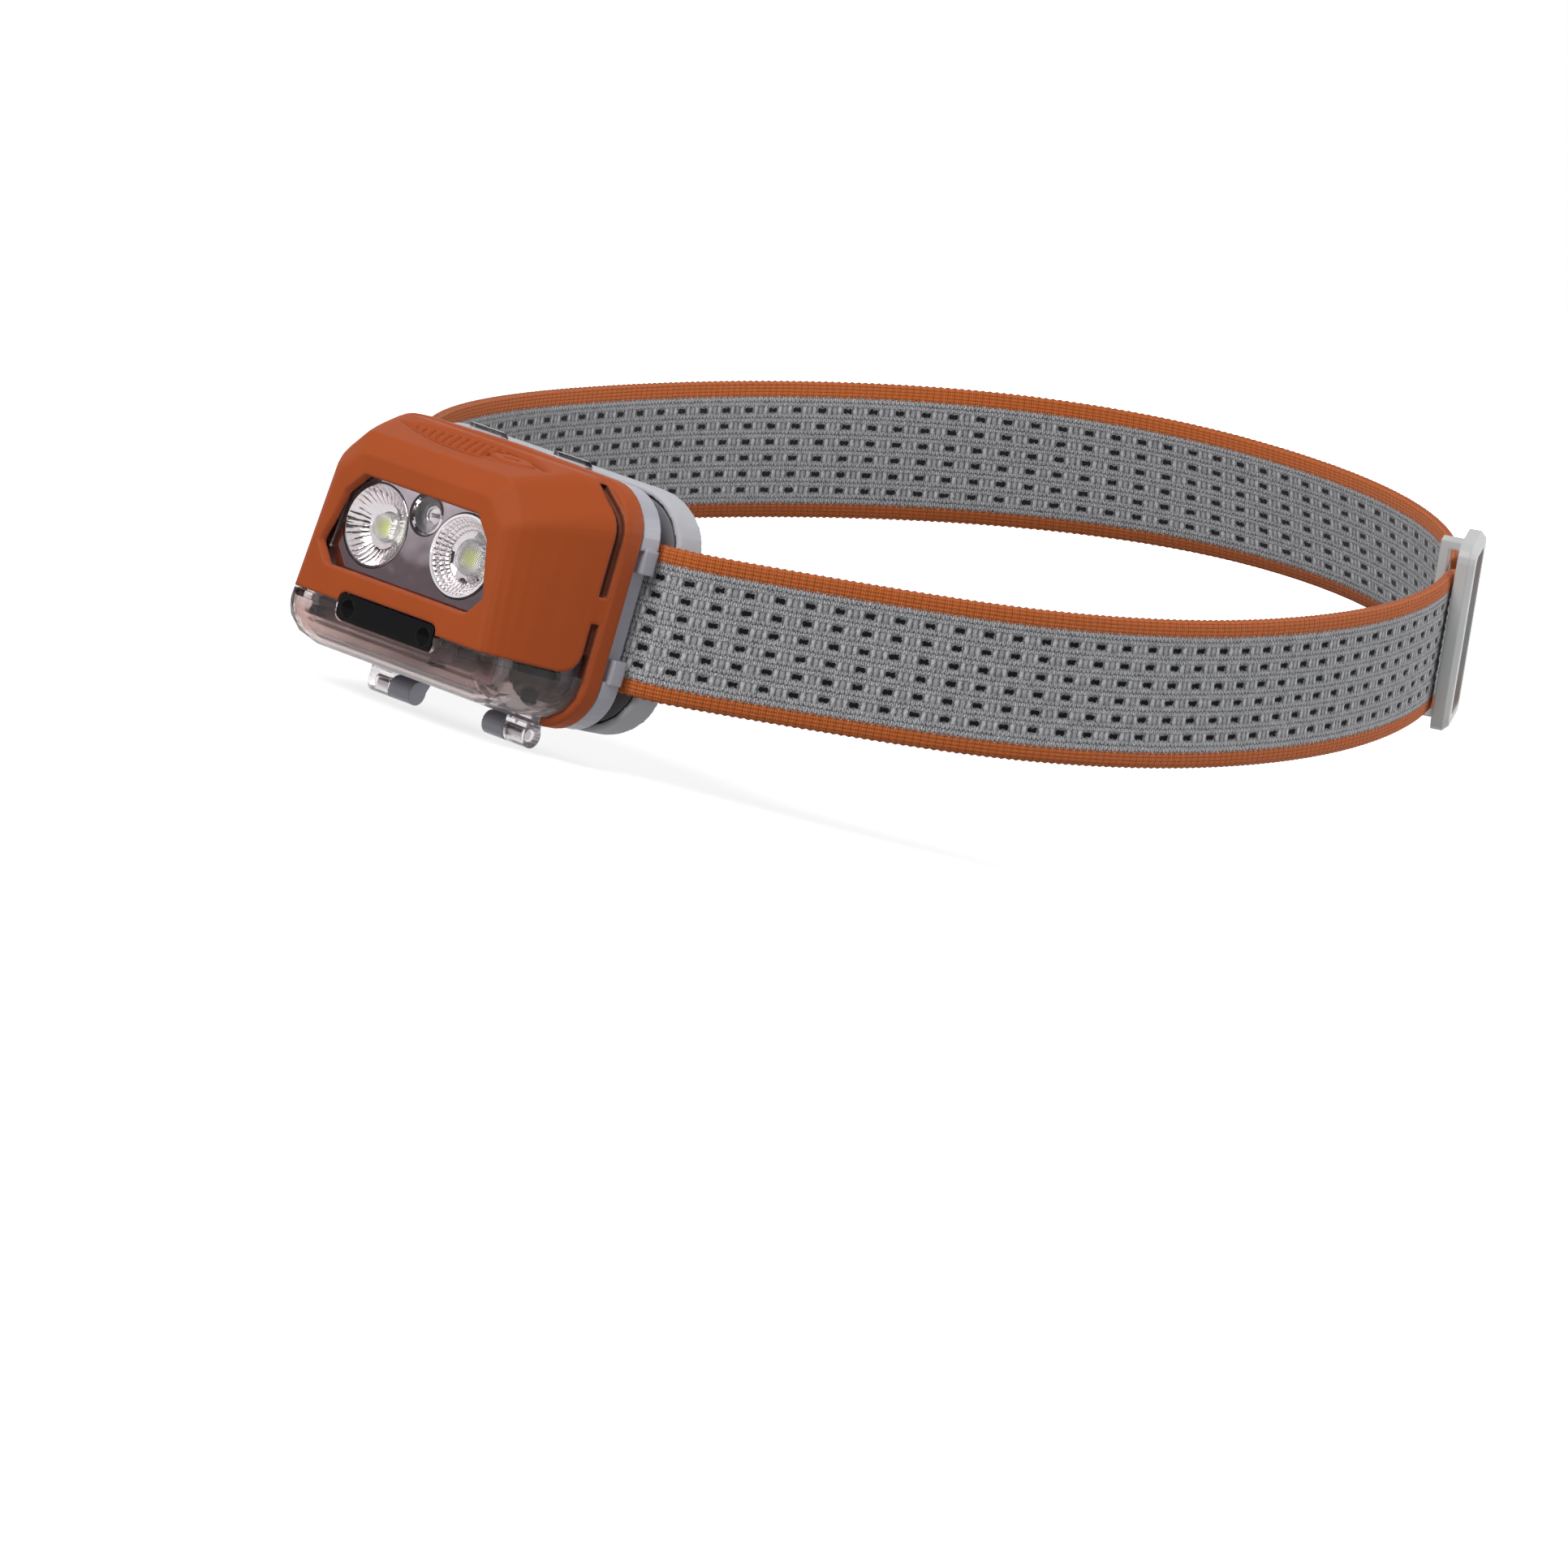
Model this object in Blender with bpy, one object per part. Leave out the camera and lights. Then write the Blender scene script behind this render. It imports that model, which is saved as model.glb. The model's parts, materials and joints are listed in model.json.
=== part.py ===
"""Headlamp on an elastic head strap, modelled at its real size.

Metres, +Z up. The lamp shines along -Y and +X is on the viewer's right.
The origin is the centre of the forehead pad's back face. The lamp tilts forward on two
hinge pins under its rear edge, and one button on its roof is pressed to switch it.
"""
import math

import bmesh
import bpy
from mathutils import Matrix, Vector

# Fits
GAP = 0.0003                     # clearance between touching pieces
OVERCUT = 0.0020                 # how far a cutter runs past the faces it opens
WELD = 0.0003                    # how far joined shapes run into each other

# Stack behind the lamp, from the forehead forwards
PAD_THICKNESS = 0.0030
PLATE_THICKNESS = 0.0020
STRAP_THICKNESS = 0.0016
STRAP_WIDTH = 0.0250
BRACKET_DEPTH = 0.0041
BRACKET_FLOOR = 0.0016
BRACKET_WALL = 0.0020
BRACKET_HEIGHT = 0.0407

# Forehead pad and its plate
PAD_REACH = 0.0010               # pad stands this far past the rim at each side
PAD_HEIGHT = 0.0408
PAD_CORNER = 0.0100
PAD_FLAT_HALF = 0.0100           # half-width of the flat land in the middle
PAD_BEND_RADIUS = 0.0850         # bend of the sides towards the temples
PAD_LIP = 0.0004                 # pad edge that stands proud round the plate
PAD_LIP_WIDTH = 0.0012
PAD_STEPS = 8

# Lamp rim, the widest outline of the lamp
RIM_WIDTH = 0.0590
RIM_HEIGHT = 0.0415
RIM_CORNER = 0.0085
RIM_DEPTH = 0.0035
RIM_STEP = 0.0003                # rim stands this far outside the body
RIM_EDGE = 0.0006                # soft front edge of the rim
RIM_CROWN = 0.0006               # arch of the rim's top edge
RIM_STEPS = 8
LIP_HALF = 0.0220                # clear stretch of the rim's foot, from the middle

# Body hull: half-outline at the front, and lengths behind the front plane
HULL_DEPTH = 0.0174
FRONT_TOP_HALF = 0.0142
FRONT_SHOULDER_HALF = 0.0179
FRONT_FOOT_HALF = 0.0208
FRONT_TOP_Z = 0.0130
FRONT_SHOULDER_Z = 0.0086
FRONT_FOOT_Z = -0.0115
FRONT_EDGE_RADIUS = 0.0016
REAR_EDGE_RADIUS = 0.0060
REAR_CHAMFER_X = 0.0076
REAR_CHAMFER_Z = 0.0053
HULL_EASE = 0.6                  # below 1 the sides swell just behind the front
CHIN_RADIUS = 0.0081             # round of the clear chin under the front
BROW_DEPTH = 0.0020              # where the steep brow meets the sloped roof
BROW_Z = 0.01665
ROOF_END_DEPTH = 0.0133          # where the sloped roof levels out
COVER_WALL = 0.0015
SHELL_WALL = 0.0012
RECESS_DEPTH = 0.0014            # window pane behind the bezel's front

# Window outline, half-widths and heights, and the draft of its walls
WINDOW_TOP_HALF = 0.0130
WINDOW_TOP_Z = 0.0114
WINDOW_SHOULDER_HALF = 0.0163
WINDOW_SHOULDER_Z = 0.0079
WINDOW_SIDE_HALF = 0.0189
WINDOW_SIDE_Z = -0.0044
WINDOW_FOOT_HALF = 0.0161
WINDOW_FOOT_Z = -0.0076
WINDOW_DRAFT = 0.0009
WINDOW_CORNER = 0.0008

# Slots between the soft cover and its rim
SLOT_WIDTH = 0.0014
SLOT_TOP_MARGIN = 0.00085        # upper slots end this far under the body's top
SLOT_FLOOR = 0.0005              # web left under the slots
SLOT_BRIDGE_HALF = 0.0022
COVER_LOWER_CORNER = 0.0035

# Reflectors and light sources
LAMP_SPACING = 0.0198
LAMP_Z = 0.0023
REFLECTOR_RADIUS = 0.0065
REFLECTOR_WALL = 0.0003
REFLECTOR_THROAT = 0.0025
FLOOD_STEPS = 3
PLATE_MIRROR_THICKNESS = 0.0010
SIGNAL_Z = 0.0067
SIGNAL_RADIUS = 0.0034
SIGNAL_WALL = 0.0005
SIGNAL_DOME = 0.7                # share of the signal light's length that is rounded
LED_SIDE = 0.0030
LED_HEIGHT = 0.0006
LED_DOME_RADIUS = 0.0012
BOARD_THICKNESS = 0.0014

# Proximity sensor under the window
SENSOR_HALF = 0.01085
SENSOR_TOP_Z = -0.00946
SENSOR_FOOT_Z = -0.01375
SENSOR_CORNER = 0.0012
SENSOR_THICKNESS = 0.0028
SENSOR_EYE_RADIUS = 0.0015
SENSOR_EYE_LENGTH = 0.0015
SENSOR_EYE_INSET = 0.0022
SENSOR_BOARD_THICKNESS = 0.0010
SENSOR_BOARD_MARGIN = 0.0012

# Power
CELL_WIDTH = 0.0380
CELL_THICKNESS = 0.0100
CELL_EDGE = 0.0016
CONTACT_WIDTH = 0.0030
CONTACT_HEIGHT = 0.0080
CONTACT_SPACING = 0.0160
CONTACT_THICKNESS = 0.0007

# Button and switch
BUTTON_LENGTH = 0.0320
BUTTON_WIDTH = 0.0080
BUTTON_THICKNESS = 0.0007
BUTTON_TRAVEL = 0.0007
BUTTON_SETBACK = 0.0095          # button centre behind the front plane
BUTTON_SINK = 0.0008             # rear edge of the button under the roof
BUTTON_DRAFT = 0.9               # lean of the well's walls over the button
BUTTON_EYE_LENGTH = 0.0105
BUTTON_EYE_HEIGHT = 0.0003
STEM_RADIUS = 0.0010
SWITCH_WIDTH = 0.0060
SWITCH_DEPTH = 0.0030
SWITCH_HEIGHT = 0.0019

# Rear cover, seal and catches
REAR_COVER_THICKNESS = 0.0017
SEAL_THICKNESS = 0.0007
CATCH_SPACING = 0.0192
CATCH_WIDTH = 0.0072
CATCH_REACH = 0.0022
CATCH_PROUD = 0.0008             # catches stand this far over the rim's top
CATCH_ROOT = 0.0045

# Tilt hinge
HINGE_BACK = 0.0006              # axis behind the rim's rear plane
HINGE_DROP = 0.0024              # axis under the rim's lowest edge
KNUCKLE_RADIUS = 0.0020
KNUCKLE_WIDTH = 0.0046
KNUCKLE_INNER = 0.0084           # inner end of the bracket's knuckles from the middle
KNUCKLE_ROOT = 0.0045
PIN_RADIUS = 0.0008
PIN_WALL = 0.0010                # closed end of each knuckle over its pin

# Bracket details
TAB_Z = 0.0092
TAB_HEIGHT = 0.0040
TAB_REACH = 0.0020
TAB_DEPTH = 0.0030
SIDE_NOTCH = 0.0014
BOSS_SPACING_X = 0.0148
BOSS_RADIUS = 0.0024
SCREW_RADIUS = 0.0010
SCREW_HEAD_RADIUS = 0.0019
SCREW_HEAD_LENGTH = 0.0010
SCREW_LENGTH = 0.0052
RIB_COUNT = 3
RIB_SPACING = 0.0130
RIB_WIDTH = 0.0012
RIB_HEIGHT = 0.0012
RIB_LENGTH = 0.0220

# Head loop followed by the strap's middle line
LOOP_HALF_WIDTH = 0.0795
LOOP_LENGTH = 0.1912
LOOP_POWER = 2.1
LOOP_STRAIGHT_HALF = 0.0318      # straight stretch behind the bracket
LOOP_RISE = 0.0196               # even rise towards the back of the head
LOOP_LIFT = 0.0178               # further lift that grows towards the back
LOOP_LEAN = math.radians(-28.0)  # lean of the band at the back of the head
LOOP_LEAN_POWER = 3.3            # how late along the loop the lean sets in
LOOP_STEP = 0.0045               # spacing of the band's sections

# Strap slider
SLIDER_ANGLE = math.radians(39.0)
SLIDER_HEIGHT = 0.0330
SLIDER_WIDTH = 0.0165
SLIDER_BAR = 0.0035
SLIDER_THICKNESS = 0.0030
SLIDER_BAR_THICKNESS = 0.0016
SLIDER_CORNER = 0.0030
SLIDER_CHAMFER = 0.0010
SLIDER_SLACK = 0.0030            # room beside the band in the opening
SLIDER_SHIFT = 0.0012            # slider rides this far up from the band's middle

FLATNESS = math.radians(0.05)    # a face that bends more than this is split
HAIRLINE = 0.000002              # points closer than this are one point
ARC_STEPS = 4
ROUND_SIDES = 32
SMALL_SIDES = 20

# Places that follow from the sizes above
PLATE_Y = -PAD_THICKNESS - GAP
STRAP_Y = PLATE_Y - PLATE_THICKNESS - GAP - STRAP_THICKNESS / 2
BRACKET_BACK_Y = STRAP_Y - STRAP_THICKNESS / 2 - GAP
BRACKET_FRONT_Y = BRACKET_BACK_Y - BRACKET_DEPTH
BRACKET_FLOOR_Y = BRACKET_BACK_Y - BRACKET_FLOOR
RIM_BACK_Y = BRACKET_FRONT_Y - GAP
RIM_FRONT_Y = RIM_BACK_Y - RIM_DEPTH
FRONT_Y = RIM_FRONT_Y - HULL_DEPTH
PANE_Y = FRONT_Y + RECESS_DEPTH
SHELL_INSET = COVER_WALL + GAP
CAVITY_INSET = SHELL_INSET + SHELL_WALL
REAR_COVER_Y = RIM_BACK_Y - REAR_COVER_THICKNESS
SEAL_Y = REAR_COVER_Y - GAP - SEAL_THICKNESS
SHELL_BACK_Y = SEAL_Y - GAP
CELL_BACK_Y = REAR_COVER_Y - GAP
CELL_FRONT_Y = CELL_BACK_Y - CELL_THICKNESS
BOARD_BACK_Y = CELL_FRONT_Y - CONTACT_THICKNESS - 2 * GAP
BOARD_FRONT_Y = BOARD_BACK_Y - BOARD_THICKNESS
REFLECTOR_BACK_Y = BOARD_FRONT_Y - GAP
REFLECTOR_FRONT_Y = PANE_Y + SHELL_WALL + GAP
SPLIT_Z = FRONT_FOOT_Z + 2 * GAP
SLOT_BACK_Y = RIM_FRONT_Y - WELD
SLOT_FRONT_Y = SLOT_BACK_Y - SLOT_WIDTH
PAD_WIDTH = RIM_WIDTH + 2 * PAD_REACH
BODY_HALF = RIM_WIDTH / 2 - RIM_STEP
BODY_TOP_Z = RIM_HEIGHT / 2 - RIM_STEP - RIM_CROWN / 2
BODY_FOOT_Z = FRONT_FOOT_Z - CHIN_RADIUS
SLOT_TOP_Z = BODY_TOP_Z - SLOT_TOP_MARGIN
LIP_TOP_Z = BODY_FOOT_Z + COVER_WALL
HINGE_Y = RIM_BACK_Y + HINGE_BACK
HINGE_Z = -RIM_HEIGHT / 2 - HINGE_DROP
KNUCKLE_OUTER = KNUCKLE_INNER + KNUCKLE_WIDTH + GAP
ROOF_SLOPE = math.atan2(BODY_TOP_Z - BROW_Z, ROOF_END_DEPTH - BROW_DEPTH)
BUTTON_SLOPE = ROOF_SLOPE - math.asin(BUTTON_SINK / BUTTON_WIDTH)
BOSS_Z = STRAP_WIDTH / 2 + BOSS_RADIUS + 2 * GAP
SWITCH_FRONT_Y = BOARD_BACK_Y + GAP
SWITCH_ROOF_Z = BROW_Z + (SWITCH_FRONT_Y - FRONT_Y - BROW_DEPTH) * math.tan(ROOF_SLOPE)
SWITCH_TOP_Z = SWITCH_ROOF_Z - CAVITY_INSET - GAP
CELL_HEIGHT = 2 * (SWITCH_TOP_Z - SWITCH_HEIGHT - GAP)

# Colours, roughness and metal of each material
ORANGE = ("soft_orange", (0.47, 0.108, 0.037), 0.55, 0.0)
SMOKE = ("smoky_clear", (0.42, 0.33, 0.32), 0.12, 0.0)
CHROME = ("chrome", (0.80, 0.78, 0.78), 0.08, 1.0)
PHOSPHOR = ("led_yellow", (0.72, 0.80, 0.28), 0.40, 0.0)
SIGNAL_CLEAR = ("signal_clear", (0.80, 0.80, 0.82), 0.10, 0.0)
BOARD_GREEN = ("board_green", (0.03, 0.11, 0.06), 0.45, 0.0)
SENSOR_BLACK = ("sensor_black", (0.012, 0.012, 0.014), 0.18, 0.0)
CELL_BLUE = ("cell_wrap", (0.035, 0.04, 0.05), 0.40, 0.0)
STEEL = ("steel", (0.55, 0.55, 0.56), 0.30, 1.0)
RUBBER = ("seal_rubber", (0.03, 0.03, 0.03), 0.75, 0.0)
BRACKET_GREY = ("bracket_grey", (0.36, 0.36, 0.39), 0.50, 0.0)
PLATE_GREY = ("plate_grey", (0.075, 0.075, 0.085), 0.60, 0.0)
PAD_GREY = ("pad_grey", (0.34, 0.34, 0.37), 0.80, 0.0)
STRAP_GREY = ("strap_grey", (0.30, 0.30, 0.30), 0.90, 0.0)
SLIDER_GREY = ("slider_grey", (0.22, 0.23, 0.22), 0.50, 0.0)


def clear_scene():
    """Remove every object that the scene starts with."""
    for obj in list(bpy.data.objects):
        bpy.data.objects.remove(obj, do_unlink=True)


def paint(obj, finish):
    """Give an object its own material from a (name, colour, roughness, metal) finish."""
    name, colour, roughness, metallic = finish
    material = bpy.data.materials.new(obj.name + "_" + name)
    material.use_nodes = True
    shader = material.node_tree.nodes["Principled BSDF"]
    shader.inputs["Base Color"].default_value = (*colour, 1.0)
    shader.inputs["Roughness"].default_value = roughness
    shader.inputs["Metallic"].default_value = metallic
    obj.data.materials.clear()
    obj.data.materials.append(material)


def lerp(a, b, share):
    """Value between a and b."""
    return a + (b - a) * share


def solid(name, rings, closed=False):
    """Object skinned over rings of points; ends are capped, or joined if closed."""
    mesh = bmesh.new()
    rows = [[mesh.verts.new(point) for point in ring] for ring in rings]
    pairs = list(zip(rows, rows[1:])) + ([(rows[-1], rows[0])] if closed else [])
    count = len(rows[0])
    for first, second in pairs:
        for i in range(count):
            j = (i + 1) % count
            mesh.faces.new((first[i], first[j], second[j], second[i]))
    if not closed:
        mesh.faces.new(rows[0])
        mesh.faces.new(rows[-1])
    bmesh.ops.connect_verts_nonplanar(mesh, angle_limit=FLATNESS, faces=mesh.faces)
    bmesh.ops.recalc_face_normals(mesh, faces=mesh.faces)
    data = bpy.data.meshes.new(name)
    mesh.to_mesh(data)
    mesh.free()
    obj = bpy.data.objects.new(name, data)
    bpy.context.scene.collection.objects.link(obj)
    return obj


def heal(data):
    """Close the hairline slits that a boolean can leave along a nearly flat edge."""
    mesh = bmesh.new()
    mesh.from_mesh(data)
    bmesh.ops.remove_doubles(mesh, verts=mesh.verts, dist=HAIRLINE)
    bmesh.ops.dissolve_degenerate(mesh, dist=HAIRLINE, edges=mesh.edges)
    slits = [edge for edge in mesh.edges if edge.is_boundary]
    bmesh.ops.holes_fill(mesh, edges=slits, sides=0)
    mesh.to_mesh(data)
    mesh.free()


def combine(target, other, operation):
    """Boolean of two objects, kept in the first; the second is used up."""
    modifier = target.modifiers.new(operation.title(), "BOOLEAN")
    modifier.operation = operation
    modifier.solver = "EXACT"
    modifier.object = other
    depsgraph = bpy.context.evaluated_depsgraph_get()
    result = bpy.data.meshes.new_from_object(target.evaluated_get(depsgraph))
    heal(result)
    target.modifiers.clear()
    target.data = result
    bpy.data.objects.remove(other, do_unlink=True)
    return target


def cut(target, *cutters):
    """Take cutters away from an object."""
    for cutter in cutters:
        combine(target, cutter, "DIFFERENCE")
    return target


def unite(target, *others):
    """Weld other shapes onto an object."""
    for other in others:
        combine(target, other, "UNION")
    return target


def rounded(corners, radii, steps=ARC_STEPS):
    """Closed 2-D outline through the corners, each rounded by its own radius."""
    points = []
    for i, corner in enumerate(corners):
        here = Vector(corner)
        before = Vector(corners[i - 1]) - here
        after = Vector(corners[(i + 1) % len(corners)]) - here
        half_turn = before.angle(after) / 2
        room = 0.49 * min(before.length, after.length)
        tangent = min(radii[i] / math.tan(half_turn), room)
        radius = tangent * math.tan(half_turn)
        centre = here + (before.normalized() + after.normalized()).normalized() * (
            radius / math.sin(half_turn))
        start = here + before.normalized() * tangent - centre
        end = here + after.normalized() * tangent - centre
        sweep = start.angle_signed(end)
        for step in range(steps + 1):
            angle = -sweep * step / steps
            turn = Matrix.Rotation(angle, 2)
            points.append(centre + turn @ start)
    return points


def rectangle(width, height, radius, steps=ARC_STEPS, middle=(0.0, 0.0)):
    """Rounded rectangle outline about its middle."""
    x, z = middle
    corners = [(x + width / 2, z + height / 2), (x + width / 2, z - height / 2),
               (x - width / 2, z - height / 2), (x - width / 2, z + height / 2)]
    return rounded(corners, [radius] * len(corners), steps)


def circle(radius, sides=ROUND_SIDES, middle=(0.0, 0.0)):
    """Circle outline."""
    return [Vector((middle[0] + radius * math.cos(math.tau * i / sides),
                    middle[1] + radius * math.sin(math.tau * i / sides)))
            for i in range(sides)]


def at_depth(outline, y):
    """Outline in X and Z placed at a depth Y."""
    return [Vector((point.x, y, point.y)) for point in outline]


def at_side(outline, x):
    """Outline in Y and Z placed at a side position X."""
    return [Vector((x, point.x, point.y)) for point in outline]


def prism(name, outline, y_front, y_back):
    """Outline in X and Z extruded along Y."""
    return solid(name, [at_depth(outline, y_front), at_depth(outline, y_back)])


def bar(name, outline, x_low, x_high):
    """Outline in Y and Z extruded along X."""
    return solid(name, [at_side(outline, x_low), at_side(outline, x_high)])


def frame_ring(name, outer, inner, y_front, y_back):
    """Band between two outlines of equal point count, extruded along Y."""
    return solid(name, [at_depth(outer, y_front), at_depth(outer, y_back),
                        at_depth(inner, y_back), at_depth(inner, y_front)], closed=True)


def block(name, low, high):
    """Box between two corners."""
    outline = [Vector((low[0], low[2])), Vector((high[0], low[2])),
               Vector((high[0], high[2])), Vector((low[0], high[2]))]
    return prism(name, outline, low[1], high[1])


def turned(name, profile, middle, sides=ROUND_SIDES):
    """Closed profile of (radius, y) turned about a Y axis through middle (x, z)."""
    rings = [at_depth(circle(radius, sides, middle), y) for radius, y in profile]
    return solid(name, rings, closed=True)


def spigot(name, profile, middle, sides=ROUND_SIDES):
    """Open profile of (radius, y) turned about a Y axis, with flat ends."""
    return solid(name, [at_depth(circle(radius, sides, middle), y) for radius, y in profile])


def pin_along_x(name, radius, x_low, x_high, sides=SMALL_SIDES):
    """Round bar on the hinge axis."""
    return bar(name, circle(radius, sides, (HINGE_Y, HINGE_Z)), x_low, x_high)


def roof_z(depth):
    """Height of the body's top at a depth behind the front plane."""
    if depth < BROW_DEPTH:
        return lerp(FRONT_TOP_Z, BROW_Z, depth / BROW_DEPTH)
    share = (depth - BROW_DEPTH) / (ROOF_END_DEPTH - BROW_DEPTH)
    return lerp(BROW_Z, BODY_TOP_Z, min(share, 1.0))


def chin_z(depth):
    """Height of the body's underside, a quarter round behind the front plane."""
    reach = max(CHIN_RADIUS - depth, 0.0)
    return FRONT_FOOT_Z - math.sqrt(CHIN_RADIUS ** 2 - reach ** 2)


def hull_outline(depth, inset):
    """Body outline at a depth behind the front plane, moved in by inset."""
    share = min(depth / HULL_DEPTH, 1.0) ** HULL_EASE
    top = roof_z(depth) - inset
    foot = chin_z(depth) + inset
    top_half = lerp(FRONT_TOP_HALF, BODY_HALF - REAR_CHAMFER_X, share) - inset * 0.5
    shoulder_half = lerp(FRONT_SHOULDER_HALF, BODY_HALF, share) - inset
    shoulder_z = lerp(FRONT_SHOULDER_Z, BODY_TOP_Z - REAR_CHAMFER_Z, share) - inset * 0.5
    foot_half = lerp(FRONT_FOOT_HALF, BODY_HALF, share) - inset
    edge = max(lerp(FRONT_EDGE_RADIUS, REAR_EDGE_RADIUS, share) - inset, FRONT_EDGE_RADIUS)
    foot_radius = max(lerp(FRONT_EDGE_RADIUS, RIM_CORNER, min(depth / CHIN_RADIUS, 1.0)) - inset,
                      FRONT_EDGE_RADIUS)
    right = [(top_half, top), (shoulder_half, shoulder_z), (foot_half, foot)]
    corners = right + [(-x, z) for x, z in reversed(right)]
    radii = [edge, edge, foot_radius, foot_radius, edge, edge]
    return rounded(corners, radii)


def hull_depths(start, end):
    """Depths at which the hull is sectioned between start and end."""
    chin = [CHIN_RADIUS * (1 - math.cos(math.radians(angle))) for angle in (12, 26, 42, 58, 74, 90)]
    rear = [lerp(CHIN_RADIUS, HULL_DEPTH, share) for share in (0.25, 0.5, 0.75, 1.0)]
    marks = sorted(chin + rear + [BROW_DEPTH, ROOF_END_DEPTH])
    depths = [start]
    for mark in marks:
        if depths[-1] + GAP / 2 < mark < end - 2 * GAP:
            depths.append(mark)
    return depths + [end]


def hull(name, start, end, inset):
    """Solid body hull between two depths, moved in by inset."""
    rings = [at_depth(hull_outline(depth, inset), FRONT_Y + depth)
             for depth in hull_depths(start, end)]
    return solid(name, rings)


def window_outline(shrink):
    """Eight-cornered window, wider at its foot, moved in by shrink."""
    right = [(WINDOW_TOP_HALF, WINDOW_TOP_Z), (WINDOW_SHOULDER_HALF, WINDOW_SHOULDER_Z),
             (WINDOW_SIDE_HALF, WINDOW_SIDE_Z), (WINDOW_FOOT_HALF, WINDOW_FOOT_Z)]
    middle_z = (WINDOW_TOP_Z + WINDOW_FOOT_Z) / 2
    right = [(x - shrink, z - math.copysign(shrink, z - middle_z)) for x, z in right]
    corners = right + [(-x, z) for x, z in reversed(right)]
    return rounded(corners, [WINDOW_CORNER] * len(corners))


def rear_outline(inset):
    """Outline of the body at its rear end, moved in by inset."""
    return hull_outline(HULL_DEPTH, inset)


def leaf(length, width, count=12):
    """Pointed leaf outline along X, in X and a second axis."""
    upper = []
    for i in range(count + 1):
        share = -1 + 2 * i / count
        upper.append(Vector((length / 2 * share, width / 2 * (1 - share * share))))
    lower = [Vector((point.x, -point.y)) for point in reversed(upper[1:-1])]
    return upper + lower


def roof_frame(setback):
    """Frame on the roof: its Z is the roof's normal, at a distance behind the front."""
    place = Vector((0.0, FRONT_Y + setback, roof_z(setback)))
    return Matrix.Translation(place) @ Matrix.Rotation(ROOF_SLOPE, 4, "X")


def button_frame():
    """Frame on the button's top: flush with the roof at its front edge, sunk at its rear."""
    edge = roof_frame(BUTTON_SETBACK) @ Vector((0.0, -BUTTON_WIDTH / 2, 0.0))
    lay = Matrix.Translation(edge) @ Matrix.Rotation(BUTTON_SLOPE, 4, "X")
    return lay @ Matrix.Translation((0.0, BUTTON_WIDTH / 2, 0.0))


def button_loft(name, sections):
    """Solid over (outline, level) sections laid along the button's normal."""
    frame = button_frame()
    rings = [[frame @ Vector((point.x, point.y, level)) for point in outline]
             for outline, level in sections]
    return solid(name, rings)


def well_outline(grow):
    """Outline of the button's well, moved out by grow."""
    return leaf(BUTTON_LENGTH + 6 * (GAP + grow), BUTTON_WIDTH + 2 * (GAP + grow))


def sensor_outline(grow):
    """Outline of the sensor window, moved out by grow."""
    height = SENSOR_TOP_Z - SENSOR_FOOT_Z
    middle = (0.0, (SENSOR_TOP_Z + SENSOR_FOOT_Z) / 2)
    return rectangle(2 * (SENSOR_HALF + grow), height + 2 * grow, SENSOR_CORNER + grow,
                     ARC_STEPS, middle)


def stem_frame():
    """Frame of the button's stem: on the button's slope, over the switch."""
    frame = button_frame()
    reach = SWITCH_FRONT_Y + SWITCH_DEPTH / 2 - frame.translation.y
    return frame @ Matrix.Translation((0.0, reach / math.cos(BUTTON_SLOPE), 0.0))


def stem_cylinder(name, radius, low, high):
    """Round bar along the button's travel, over the switch."""
    frame = stem_frame()
    rings = [[frame @ Vector((point.x, point.y, level)) for point in circle(radius, SMALL_SIDES)]
             for level in (low, high)]
    return solid(name, rings)


def corner_arc(corner, radius):
    """Round of the cover's lower rear corner, from its foot up to its rear edge."""
    centre = Vector((corner[0] - radius, corner[1] + radius))
    angles = [math.pi / 2 * step / ARC_STEPS for step in range(ARC_STEPS + 1)]
    return [centre + Vector((radius * math.sin(a), -radius * math.cos(a))) for a in angles]


def rim_outline(height, shrink):
    """Outline of the rim and its carrier: a rounded rectangle with an arched top."""
    half_width, half_height = RIM_WIDTH / 2 - shrink, height / 2 - shrink
    shoulder = half_height - RIM_CROWN
    corners = [(half_width, shoulder), (half_width, -half_height), (-half_width, -half_height),
               (-half_width, shoulder), (0.0, half_height)]
    corner = RIM_CORNER - shrink
    return rounded(corners, [corner, corner, corner, corner, RIM_WIDTH], RIM_STEPS)


def build_rim():
    """Solid block of the soft cover's rear rim, with a softened front edge."""
    rings = []
    for y, shrink in ((RIM_FRONT_Y, RIM_EDGE), (RIM_FRONT_Y + RIM_EDGE, 0.0), (RIM_BACK_Y, 0.0)):
        rings.append(at_depth(rim_outline(RIM_HEIGHT, shrink), y))
    return solid("rim", rings)


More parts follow.
